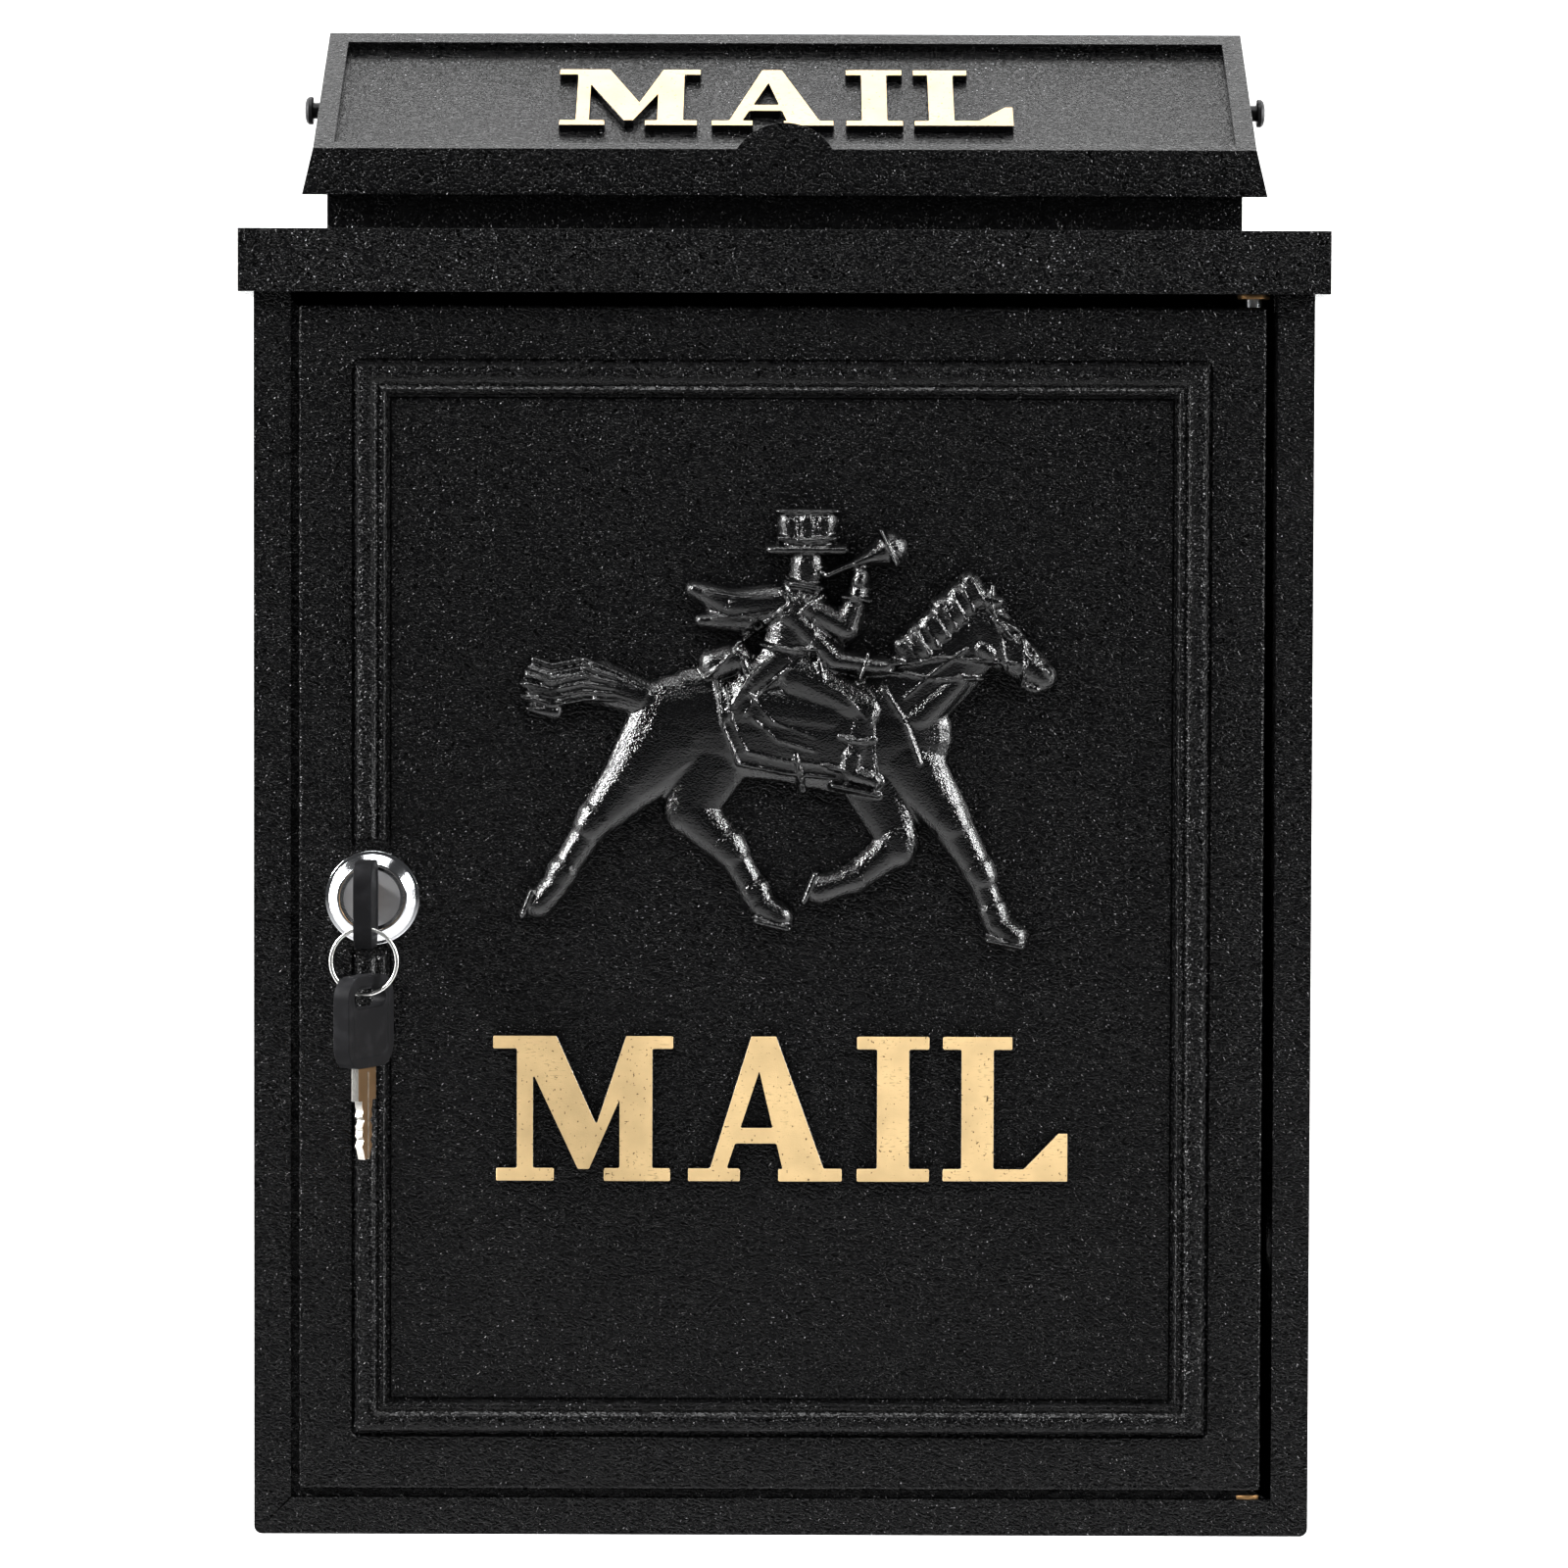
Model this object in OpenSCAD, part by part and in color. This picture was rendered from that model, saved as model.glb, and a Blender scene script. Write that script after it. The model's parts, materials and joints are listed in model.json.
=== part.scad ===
// Wall mounted mailbox: a folded sheet steel box with a cast top, a hinged
// mail lid, a hinged lockable door and a pair of keys on a ring.
//
// Frame: the wall is the plane y = 0, the front of the box faces -y, x runs to
// the right, z is up, and the origin is the centre of the four wall holes.

/* [Body] */
// Width of the folded steel body
body_w = 258; // [230:1:320]
// Height of the body, from its bottom to the underside of the top casting's roof
body_h = 317; // [290:1:400]
// Depth of the body, from its front plane to the wall
body_d = 76; // [74:1:100]
// Thickness of the sheet steel
sheet_t = 1.2; // [0.8:0.1:2]
// Width of the front flange round the door opening
flange_w = 9; // [8:0.5:12]
// Depth of the lip that turns in from the flange
lip_depth = 17.5; // [14:0.5:20]
// Radius of the body's two lower corners
corner_r = 2; // [1:0.5:4]
// Width of the folded edges of the rear panel
rear_fold = 10; // [6:1:14]

/* [Wall holes] */
// Distance between the wall holes, side to side
hole_dx = 160; // [100:5:190]
// Distance between the wall holes, up and down
hole_dz = 200; // [120:5:240]
// Height of the middle of the wall holes above the body's bottom
hole_up = 160; // [140:1:180]
// Radius of a wall hole
hole_r = 2.75; // [2:0.25:4]

/* [Top casting] */
// Thickness of the casting's roof
roof_t = 1.9; // [1.5:0.1:3]
// Thickness of the neck's walls
neck_t = 2.5; // [2:0.1:4]
// Height of the skirt round the top of the body, with the roof
skirt_h = 15.3; // [13:0.1:20]
// How far the skirt stands out at each side of the body
skirt_side = 3.5; // [2.5:0.1:6]
// How far the skirt stands out in front of the body
skirt_front = 4; // [3:0.1:6]
// Gap between the skirt and the body
skirt_gap = 0.3; // [0.2:0.1:0.6]
// From each end of the casting in to the neck
neck_inset = 20; // [16:0.5:30]
// From the body's front plane back to the neck
neck_front = 16; // [14:0.5:20]
// Depth of the ledge behind the neck
rear_ledge = 22; // [20:0.5:26]
// Distance of the casting's screws from its middle
screw_x = 95; // [60:1:100]
// Radius of the casting's screws
screw_r = 2; // [1.5:0.25:2.5]

/* [Lid] */
// Wall thickness of the lid casting
lid_t = 2.2; // [1.8:0.1:3]
// Angle of the lid's slope
lid_slope = 33.1; // [27:0.1:36]
// Height of the lid's front lip
lip_h = 11.3; // [9:0.1:14]
// How far the lip widens at each side, from its top to its bottom
lip_flare = 2.7; // [0:0.1:4]
// Gap under the lip, down to the roof
lid_lift = 9; // [6:0.5:12]
// How far the lid reaches out in front of the neck and behind it
lid_over = 6; // [5:0.5:8]
// Gap between the neck and each side of the lid
lid_side_gap = 0.8; // [0.7:0.1:1.5]
// Gap between the neck's sloping edge and the underside of the lid
lid_seat_gap = 0.5; // [0.3:0.1:1]
// Depth of the panel sunk into the slope
panel_sunk = 2.5; // [1.5:0.1:3]
// Width of the rim round the sunk panel
rim_w = 5; // [3:0.5:8]
// Width of the bead along the panel's front edge
bead_w = 3; // [2:0.5:5]
// Radius of the lid's pivot screws
pivot_r = 2; // [1.5:0.1:2.5]
// Clearance of the lid round its pivot screws
pivot_play = 0.06; // [0.03:0.01:0.09]
// Height of the thumb tab above the lip
tab_h = 6.5; // [4:0.5:9]
// Width of the thumb tab where it meets the lip
tab_w = 23.6; // [16:0.1:32]
// Thickness of the thumb tab
tab_t = 4; // [3:0.5:6]

/* [Door] */
// Gap between the door and the flange on the lock side
gap_left = 1.8; // [1.2:0.1:3]
// Gap between the door and the flange on the hinge side
gap_right = 2.6; // [2.4:0.1:4]
// Gap under the door
gap_bottom = 2; // [1.6:0.1:4]
// Gap above the door
gap_top = 3; // [1.6:0.1:4]
// Depth of the door's turned edges
door_depth = 8; // [8:0.5:12]
// Thickness of the door's panel and edges
door_t = 2.5; // [2:0.1:4]
// From the door's edge in to its moulding
mould_in = 13; // [11:0.5:18]
// Width of the moulding
mould_w = 9.5; // [7:0.5:12]
// Height of the moulding
mould_h = 3; // [2:0.1:4]
// Radius of the hinge pins
pin_r = 2; // [1.5:0.1:2.2]
// Clearance of the hinge pins in their bushes
pin_play = 0.05; // [0.03:0.01:0.09]
// From the door's hinge side edge in to the hinge line
hinge_in = 3; // [2.5:0.1:3.4]
// From the door's front face back to the hinge line
hinge_back = 4; // [3.5:0.1:4.4]

/* [Ornament] */
// Height of the capitals on the door
door_word_h = 35.5; // [20:0.5:40]
// From the door's centre down to the foot of those capitals
door_word_down = 68.6; // [60:0.1:75]
// Height of the capitals on the lid
lid_word_h = 28.6; // [16:0.5:32]
// From the slope's front edge up to the foot of those capitals
lid_word_in = 13; // [9:0.5:18]
// Thickness of the capitals
letter_t = 2; // [1:0.1:2.5]
// From the door's centre down to the foot of the rider
rider_down = 12.4; // [0:0.1:20]
// Thickness of the rider
rider_t = 3; // [2:0.5:5]

/* [Lock] */
// From the door's edge in to the middle of the lock
lock_in = 18.2; // [17.5:0.1:24]
// Height of the lock above the body's bottom
lock_up = 156.2; // [140:0.1:170]
// Radius of the lock's threaded barrel
barrel_r = 9.25; // [9:0.05:10]
// Length of the barrel behind the door's face
barrel_l = 18; // [17:0.5:22]
// Radius of the bezel at the door
bezel_r = 11.55; // [10.5:0.05:13]
// Height of the bezel
bezel_h = 3.2; // [2.5:0.1:4]
// Radius of the flat seat that the moulding leaves round the bezel
seat_r = 13; // [12.5:0.5:18]
// Radius of the turning plug
plug_r = 6.95; // [6.5:0.05:7.5]
// Clearance of the plug in the barrel
plug_play = 0.05; // [0.03:0.01:0.09]
// Width of the lock's hexagonal nut across its flats
nut_af = 24; // [22:0.5:25]
// Reach of the cam from the middle of the lock
cam_reach = 27; // [25:0.5:27]
// Thickness of the cam
cam_t = 2; // [1.5:0.1:3]
// Gap between the back of the lip and the cam
cam_gap = 0.8; // [0.5:0.1:1.5]

/* [Keys] */
// Length of a key's head
head_l = 22; // [18:0.5:26]
// Width of a key's head
head_w = 20.6; // [18:0.2:24]
// Thickness of a key's head
head_t = 4.4; // [3.5:0.1:5]
// Width of the rim round the head's slot
head_rim = 3.2; // [2.5:0.1:4]
// Width of the head's slot
slot_w = 4.5; // [4:0.1:6]
// Thickness of the blades
blade_t = 2; // [1.5:0.1:2.2]
// Width of the blade's shoulder
shoulder_w = 8; // [7:0.1:9]
// Length of the blade's shoulder
shoulder_l = 8; // [4:0.1:9.6]
// Width of the blade beyond the shoulder
blade_w = 4.8; // [4:0.1:6]
// Length of the blade beyond the shoulder
blade_l = 14.2; // [11.5:0.1:17.5]
// Outer diameter of the key ring
ring_d = 17.1; // [16.5:0.1:22]
// Diameter of the ring's wire
wire_d = 1.3; // [1:0.1:1.4]
// Turn of the spare key about the vertical
spare_turn = -27; // [-35:1:0]

/* [Hidden] */
$fn = 64;

black = [0.12, 0.12, 0.13];
steel = [0.62, 0.62, 0.64];
gold = [0.86, 0.70, 0.38];
bronze = [0.66, 0.50, 0.30];
chrome = [0.85, 0.86, 0.88];
far = 1000;   // longer than anything that is cut
over = 1;     // how far a cutting shape runs past a face

// the top casting
roof_top = body_h + roof_t;
cap_w = body_w + 2 * skirt_side;
skirt_low = roof_top - skirt_h;
neck_w = cap_w - 2 * neck_inset;
neck_back = body_d - rear_ledge;

// the lid, in depth behind the front plane and height above the body's bottom
lid_w = neck_w + 2 * (lid_side_gap + lid_t);
lid_front = neck_front - lid_over;
lid_back = neck_back + lid_over;
lid_low = roof_top + lid_lift;
lip_top = lid_low + lip_h;
slope_l = (lid_back - lid_front) / cos(lid_slope);
function slope_z(y) = lip_top + (y - lid_front) * tan(lid_slope);
skin = panel_sunk + lid_t;           // from the slope's rim to the underside
function under_z(y) = slope_z(y) - skin / cos(lid_slope);
pivot_boss_r = 5.1;
pivot_y = neck_back - 7;
pivot_z = slope_z(pivot_y) - (skin + lid_seat_gap + pivot_boss_r) / cos(lid_slope);
rear_skirt_low = pivot_z + 6.2;      // lets the lid swing up past the neck's back wall
side_skirt_back = lid_back - 4;
side_skirt_rise = 2.5;
pivot_head_r = 3.5;
pivot_head_t = 2;
pivot_stand = 3.1;                   // stem that shows between the lid and the head
nut_t = 3;

// the flange on the body's front, the rail over the door and the casting's screws
inner_r = corner_r - sheet_t / 2;
opening_half = body_w / 2 - flange_w;
rail_screw_z = body_h - 3;           // top of the two folds that the screws hold
screw_top = body_h + 1;              // blind in the casting's roof
boss_r = 4;
fold_screw_y = 8;                    // behind the front plane, and in front of the wall
rail_depth = lip_depth;
screw_head_r = 3.5;
screw_head_t = 2.5;

// the door
door_l = -opening_half + gap_left;
door_r = opening_half - gap_right;
door_low = flange_w + gap_bottom;
door_top = skirt_low - gap_top;
door_mid = (door_low + door_top) / 2;
door_cx = (door_l + door_r) / 2;
hinge_x = door_r - hinge_in;
pin_block = 8;
pin_l = 10;                          // length of a pin in the door and below its edge
pin_out = 6.5;
bush_r = 2.75;
bush_collar_r = 3.9;
bush_collar_t = 1;
bush_l = 5;
stop_h = 20;
stop_from_end = 40;
stop_gap = 0.4;
stop_reach = 6;

// the lock
lock_x = door_l + lock_in;
mouth_r = plug_r + 0.85;
face_up = 2.6;                       // the plug's face above the door's face
washer_t = 1;
lock_nut_t = 4.5;
cam_y = lip_depth + cam_gap;
tang = 7;
tang_play = 0.1;
tang_l = cam_t - 0.2;
cam_round_r = 8.5;
cam_tip_w = 12;
cam_screw_r = 1.9;
cam_screw_l = 4.4;
wafer_n = 5;
wafer = [5, 12.6, 1.1];
wafer_step = 2.7;
wafer_first = 3;
wafer_play = 0.2;
window = [2.6, 6.7];
keyway_play = 0.3;

// the keys: a key's own z runs from the tip of its blade to the end of its head
seat_gap = 0.2;                      // between the shoulder and the plug's face
head_z = face_up + seat_gap + shoulder_l;
head_corner = 6;
chamfer = 0.9;
tang_in_head = 6;
slot_l = head_w - 2 * head_rim;
slot_z = head_l - head_rim - slot_w / 2;
rim_mid = head_w / 2 - head_rim / 2;
ring_r = (ring_d - wire_d) / 2;
rim_half = norm([head_t / 2, head_rim / 2 - chamfer]);
ring_gap = 0.25;
ring_down = ring_r - (rim_half + ring_gap + wire_d / 2);
ring_out = head_z + slot_z;
ring_z = lock_up - rim_mid - ring_down;
hang_gap = 0.4;                      // ring's wire to the upper edge of the spare's slot
spare_dip = ring_r - sqrt(pow(ring_r, 2) - pow(head_t / 2 + 0.3, 2));
spare_z = ring_z - ring_r + spare_dip + wire_d / 2 + hang_gap - slot_w / 2 - slot_z;
cuts = [0.5, 1.1, 0.4, 0.9, 0.6];    // depths of the cuts along both edges of the blade

// Puts a shape at x, at a depth behind the front plane and a height above the bottom.
module at(x, back, up) translate([x, back - body_d, up - hole_up]) children();

// Puts a shape on the door's face: its x is right, its y is up and its z is outwards.
module on_door(x, up) at(x, 0, up) rotate([90, 0, 0]) children();

// Runs a side view, drawn in depth and height, across the box.
module across(w) at(0, 0, 0) rotate([90, 0, 90]) linear_extrude(w, center = true) children();

module box(x0, x1, y0, y1, z0, z1) at(x0, y0, z0) cube([x1 - x0, y1 - y0, z1 - z0]);

module rod(x, y, z0, z1, r) at(x, y, z0) cylinder(r = r, h = z1 - z0);

module side_rod(x0, x1, y, z, r) at(x0, y, z) rotate([0, 90, 0]) cylinder(r = r, h = x1 - x0);

module hexagon(af, h) cylinder(r = af / 2 / cos(30), h = h, $fn = 6);

module rounded(w, h, r) {
    square([w - 2 * r, h], center = true);
    square([w, h - 2 * r], center = true);
    for (sx = [-1, 1], sy = [-1, 1])
        translate([sx * (w / 2 - r), sy * (h / 2 - r)]) circle(r = r);
}

// ---- housing

module front_view(inset, r) {
    w = body_w / 2 - inset;
    translate([0, inset]) {
        translate([-w + r, 0]) square([2 * (w - r), body_h - inset]);
        translate([-w, r]) square([2 * w, body_h - inset - r]);
        for (s = [-1, 1]) translate([s * (w - r), r]) circle(r = r);
    }
}

module body_shell() color(black) difference() {
    at(0, body_d, 0) rotate([90, 0, 0]) linear_extrude(body_d) front_view(0, corner_r);
    // the room inside, behind the flange
    at(0, body_d + over, 0) rotate([90, 0, 0])
        linear_extrude(body_d + over - sheet_t) difference() {
            front_view(sheet_t, inner_r);
            translate([-far / 2, body_h - over]) square([far, far]);
        }
    box(-body_w / 2 + sheet_t, body_w / 2 - sheet_t, sheet_t, body_d + over,
        body_h - 2 * over, body_h + over);
    // the door opening
    box(-opening_half, opening_half, -over, sheet_t + over, flange_w, body_h + over);
}

// The lip that turns in round the opening, folded from the flange and welded to it.
module door_lip() color(black) difference() {
    box(-opening_half - sheet_t, opening_half + sheet_t, sheet_t, lip_depth,
        flange_w - sheet_t, skirt_low);
    box(-opening_half, opening_half, 0, lip_depth + over, flange_w, body_h);
    rod(hinge_x, hinge_back, flange_w - sheet_t - over, flange_w + over, bush_r);
}

module body_with_lip() {
    body_shell();
    door_lip();
}

module fold_holes(y) for (s = [-1, 1])
    rod(s * screw_x, y, rail_screw_z - sheet_t - over, rail_screw_z + over, screw_r + 0.2);

module rear_panel() color(black) difference() {
    w = body_w / 2 - sheet_t;
    union() {
        at(0, body_d, 0) rotate([90, 0, 0]) linear_extrude(sheet_t) front_view(sheet_t, inner_r);
        for (s = [-1, 1])
            box(min(s * w, s * (w - sheet_t)), max(s * w, s * (w - sheet_t)),
                body_d - rear_fold, body_d, sheet_t + corner_r, rail_screw_z - sheet_t);
        box(corner_r - w, w - corner_r, body_d - rear_fold, body_d, sheet_t, 2 * sheet_t);
        box(-w, w, body_d - fold_screw_y * 2, body_d, rail_screw_z - sheet_t, rail_screw_z);
    }
    for (sx = [-1, 1], sz = [-1, 1])
        at(sx * hole_dx / 2, body_d + over, hole_up + sz * hole_dz / 2)
            rotate([90, 0, 0]) cylinder(r = hole_r, h = 2 * over + sheet_t);
    fold_holes(body_d - fold_screw_y);
}

module header_rail() color(black) difference() {
    w = body_w / 2 - sheet_t;
    union() {
        box(-w, w, 0, sheet_t, skirt_low, rail_screw_z);
        box(-w, w, 0, rail_depth, skirt_low, skirt_low + sheet_t);
        box(-w, w, 0, rail_depth, rail_screw_z - sheet_t, rail_screw_z);
    }
    rod(hinge_x, hinge_back, skirt_low - over, skirt_low + sheet_t + over, bush_r);
    fold_holes(fold_screw_y);
    // leaves room for the body's own flange beside the opening
    for (s = [-1, 1])
        box(min(s * opening_half, s * far), max(s * opening_half, s * far),
            -over, sheet_t, 0, far);
}

module casting_posts(r, top) for (s = [-1, 1], y = [fold_screw_y, body_d - fold_screw_y])
    rod(s * screw_x, y, rail_screw_z, top, r);

module top_casting() color(black) difference() {
    union() {
        difference() {
            union() {
                box(-cap_w / 2, cap_w / 2, -skirt_front, body_d, skirt_low, roof_top);
                across(neck_w) neck_side();
            }
            // the pocket that the body's top stands in
            box(-body_w / 2 - skirt_gap, body_w / 2 + skirt_gap, -skirt_gap, body_d + over,
                skirt_low - over, body_h);
            // the mail slot, down through the neck
            box(-neck_w / 2 + neck_t, neck_w / 2 - neck_t,
                neck_front + neck_t, neck_back - neck_t,
                skirt_low, pivot_z + 3 * pivot_boss_r);
        }
        casting_posts(boss_r, body_h);
    }
    casting_posts(screw_r, screw_top);
    side_rod(-far / 2, far / 2, pivot_y, pivot_z, pivot_r);
}

module neck_side() {
    edge = skin + lid_seat_gap;
    polygon([
        [neck_front, body_h],
        [neck_front, slope_z(neck_front) - edge / cos(lid_slope)],
        [pivot_y - pivot_boss_r * sin(lid_slope), pivot_z + pivot_boss_r * cos(lid_slope)],
        [pivot_y, pivot_z],
        [neck_back, pivot_z - 1.5],
        [neck_back, body_h]
    ]);
    translate([pivot_y, pivot_z]) circle(r = pivot_boss_r);
}

module casting_screws() color(steel) {
    casting_posts(screw_r, screw_top);
    for (s = [-1, 1], y = [fold_screw_y, body_d - fold_screw_y]) {
        rod(s * screw_x, y, rail_screw_z - sheet_t - screw_head_t, rail_screw_z - sheet_t,
            screw_head_r);
        rod(s * screw_x, y, rail_screw_z - sheet_t, rail_screw_z, screw_r);
    }
}

// A flanged bush that a hinge pin turns in: turned the other way up over the door.
module hinge_bush() rotate_extrude() translate([pin_r + pin_play, 0]) {
    square([bush_r - pin_r - pin_play, bush_l]);
    translate([0, bush_l]) square([bush_collar_r - pin_r - pin_play, bush_collar_t]);
}

module lower_hinge_bush() color(bronze)
    at(hinge_x, hinge_back, flange_w - bush_l) hinge_bush();

module upper_hinge_bush() color(bronze)
    at(hinge_x, hinge_back, skirt_low + bush_l) mirror([0, 0, 1]) hinge_bush();

module door_stops() color(black) for (z = [door_low + stop_from_end, door_top - stop_from_end])
    difference() {
        box(-opening_half, -opening_half + gap_left + stop_reach,
            door_depth + stop_gap, lip_depth, z - stop_h / 2, z + stop_h / 2);
        box(-opening_half + sheet_t, opening_half,
            door_depth + stop_gap + sheet_t, body_d, z - stop_h, z + stop_h);
    }

module lid_pivot_screw(s) {
    inner = neck_w / 2 - neck_t - nut_t - 1;
    outer = lid_w / 2 + pivot_stand;
    side_rod(min(s * inner, s * outer), max(s * inner, s * outer), pivot_y, pivot_z, pivot_r);
    side_rod(min(s * outer, s * (outer + pivot_head_t)), max(s * outer, s * (outer + pivot_head_t)),
        pivot_y, pivot_z, pivot_head_r);
}

module lid_pivot_screw_left() color(black) lid_pivot_screw(-1);

module lid_pivot_screw_right() color(black) lid_pivot_screw(1);

module lid_pivot_nuts() color(steel) for (s = [-1, 1]) difference() {
    at(s * (neck_w / 2 - neck_t - nut_t / 2), pivot_y, pivot_z) rotate([0, 90, 0])
        translate([0, 0, -nut_t / 2]) hexagon(7, nut_t);
    side_rod(-far / 2, far / 2, pivot_y, pivot_z, pivot_r);
}

module lid_pivot_washers() color(steel) for (s = [-1, 1]) difference() {
    w = lid_side_gap - 0.2;
    side_rod(min(s * neck_w / 2, s * (neck_w / 2 + w)), max(s * neck_w / 2, s * (neck_w / 2 + w)),
        pivot_y, pivot_z, 4.4);
    side_rod(-far / 2, far / 2, pivot_y, pivot_z, pivot_r);
}

// ---- lid

module on_slope() at(0, lid_front, lip_top) rotate([lid_slope, 0, 0]) children();

module lid() color(black) difference() {
    union() {
        across(lid_w) polygon([
            [lid_front, lid_low],
            [lid_front, lip_top],
            [lid_back, slope_z(lid_back)],
            [lid_back, rear_skirt_low],
            [side_skirt_back, lid_low + side_skirt_rise]
        ]);
        at(0, lid_front + lid_t, 0) rotate([90, 0, 0]) linear_extrude(lid_t) polygon([
            [-lid_w / 2 - lip_flare, lid_low],
            [lid_w / 2 + lip_flare, lid_low],
            [lid_w / 2, lip_top],
            [-lid_w / 2, lip_top]
        ]);
        thumb_tab();
    }
    // hollow inside, open underneath
    across(lid_w - 2 * lid_t) polygon([
        [lid_front + lid_t, lid_low - over],
        [lid_front + lid_t, under_z(lid_front + lid_t)],
        [lid_back - lid_t, under_z(lid_back - lid_t)],
        [lid_back - lid_t, rear_skirt_low],
        [lid_back + over, rear_skirt_low],
        [lid_back + over, lid_low - over]
    ]);
    // the sunk panel, cut short round the thumb tab
    difference() {
        on_slope() translate([-lid_w / 2 + rim_w, bead_w, -panel_sunk])
            cube([lid_w - 2 * rim_w, slope_l - bead_w - rim_w, far]);
        thumb_tab();
    }
    side_rod(-far / 2, far / 2, pivot_y, pivot_z, pivot_r + pivot_play);
}

// An upright part of a disc on the lip's front face.
module thumb_tab() {
    r = (pow(tab_w / 2, 2) + pow(tab_h, 2)) / (2 * tab_h);
    intersection() {
        at(0, lid_front + tab_t, lip_top + tab_h - r) rotate([90, 0, 0]) cylinder(r = r, h = tab_t);
        box(-tab_w, tab_w, 0, body_d, lip_top - bead_w, lip_top + tab_h + over);
    }
}

// ---- capitals, drawn for a height of 1, each from its own left edge

stem = 0.23;
thin = 0.12;
slab = 0.09;
letter_gap = 0.09;
m_w = 1.24;
a_w = 1.08;
i_w = 0.5;
l_w = 0.86;
word_w = m_w + a_w + i_w + l_w + 3 * letter_gap;

module foot(x, w, top) translate([x - w / 2, top ? 1 - slab : 0]) square([w, slab]);

module upright(x, w) translate([x - w / 2, 0]) square([w, 1]);

module capital_m() polygon([
    [0.02, 0], [0.42, 0], [0.42, slab], [0.22 + thin / 2, slab], [0.22 + thin / 2, 0.72],
    [0.58, 0.08], [0.66, 0.08], [m_w - 0.37, 0.56], [m_w - 0.37, slab], [0.76, slab],
    [0.76, 0], [m_w - 0.02, 0], [m_w - 0.02, slab], [m_w - 0.37 + stem, slab],
    [m_w - 0.37 + stem, 1 - slab], [m_w, 1 - slab], [m_w, 1], [0.91, 1], [0.71, 0.40],
    [0.44, 1], [0, 1], [0, 1 - slab], [0.22 - thin / 2, 1 - slab], [0.22 - thin / 2, slab],
    [0.02, slab]
]);

module capital_a() {
    polygon([[0.13, 0], [0.25, 0], [0.50, 0.76], [0.68, 0], [0.98, 0], [0.62, 1], [0.44, 1]]);
    translate([0.27, 0.26]) square([0.46, 0.11]);
    foot(0.19, 0.36, false);
    foot(0.85, 0.44, false);
}

module capital_i() {
    upright(i_w / 2, stem);
    foot(i_w / 2, i_w, false);
    foot(i_w / 2, i_w, true);
}

module capital_l() {
    upright(0.24, stem);
    foot(0.24, 0.48, true);
    square([l_w - 0.04, slab]);
    polygon([[l_w - 0.30, slab], [l_w - 0.10, 0], [l_w, 0], [l_w, 0.34], [l_w - 0.06, 0.34]]);
}

module capitals(h, t) translate([-word_w * h / 2, 0]) scale([h, h, 1]) linear_extrude(t) {
    capital_m();
    translate([m_w + letter_gap, 0]) capital_a();
    translate([m_w + a_w + 2 * letter_gap, 0]) capital_i();
    translate([m_w + a_w + i_w + 3 * letter_gap, 0]) capital_l();
}

module lid_letters() color(gold)
    on_slope() translate([0, lid_word_in, -panel_sunk]) capitals(lid_word_h, letter_t);

module door_letters() color(gold)
    on_door(door_cx, door_mid - door_word_down) capitals(door_word_h, letter_t);

// ---- the rider: limbs as pairs of round ends, [x, up, radius, x, up, radius]

horse = [
    [-22, 55, 13, 22, 53, 13.5], [27, 56, 11, 50, 77, 6.5], [51, 78, 6, 62, 69, 3.6],
    [50, 82, 2, 49, 88, 0.8], [30, 46, 8, 41, 33, 4.6], [41, 33, 4.6, 49, 20, 3],
    [49, 20, 3, 52, 7, 2.2], [52, 7, 2.2, 55, 2.5, 2.5], [24, 44, 7.5, 29, 27, 4.2],
    [29, 27, 4.2, 16, 18, 2.5], [16, 18, 2.5, 9, 16, 2.6], [-24, 52, 11.5, -34, 43, 7],
    [-34, 43, 7, -46, 31, 3.6], [-46, 31, 3.6, -55, 18, 2.4], [-55, 18, 2.4, -58, 12, 2.6],
    [-20, 46, 9, -23, 34, 6], [-23, 34, 6, -13, 25, 3.5], [-13, 25, 3.5, -6, 13, 2.4],
    [-6, 13, 2.4, -2, 9, 2.6], [-34, 60, 4, -48, 65, 4], [-48, 65, 4, -63, 65, 1.2]
];
rider = [
    [2, 69, 6, 5, 84, 6.5], [6, 91, 3.8, 6, 93, 3.8], [5, 68, 5.5, 22, 58, 4.4],
    [22, 58, 4, 16, 44, 3], [16, 43, 2.4, 22, 41, 2], [6, 84, 3.6, 17, 80, 3],
    [17, 80, 2.8, 17, 91, 2], [10, 91, 0.9, 27, 98, 3.2], [-3, 97, 1, 15, 97, 1],
    [3, 98, 3, 4, 105, 3.4], [9, 98, 3, 8, 105, 3.4], [-4, 72, 5, -8, 66, 5],
    [-22, 87, 2, 2, 84, 5]
];

module limb(p) hull() {
    translate([p[0], p[1]]) circle(r = p[2], $fn = 28);
    translate([p[3], p[4]]) circle(r = p[5], $fn = 28);
}

module rider_relief() color(black) on_door(door_cx, door_mid - rider_down) {
    linear_extrude(rider_t) for (p = horse) limb(p);
    linear_extrude(rider_t + over) for (p = rider) limb(p);
}

// ---- door

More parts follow.
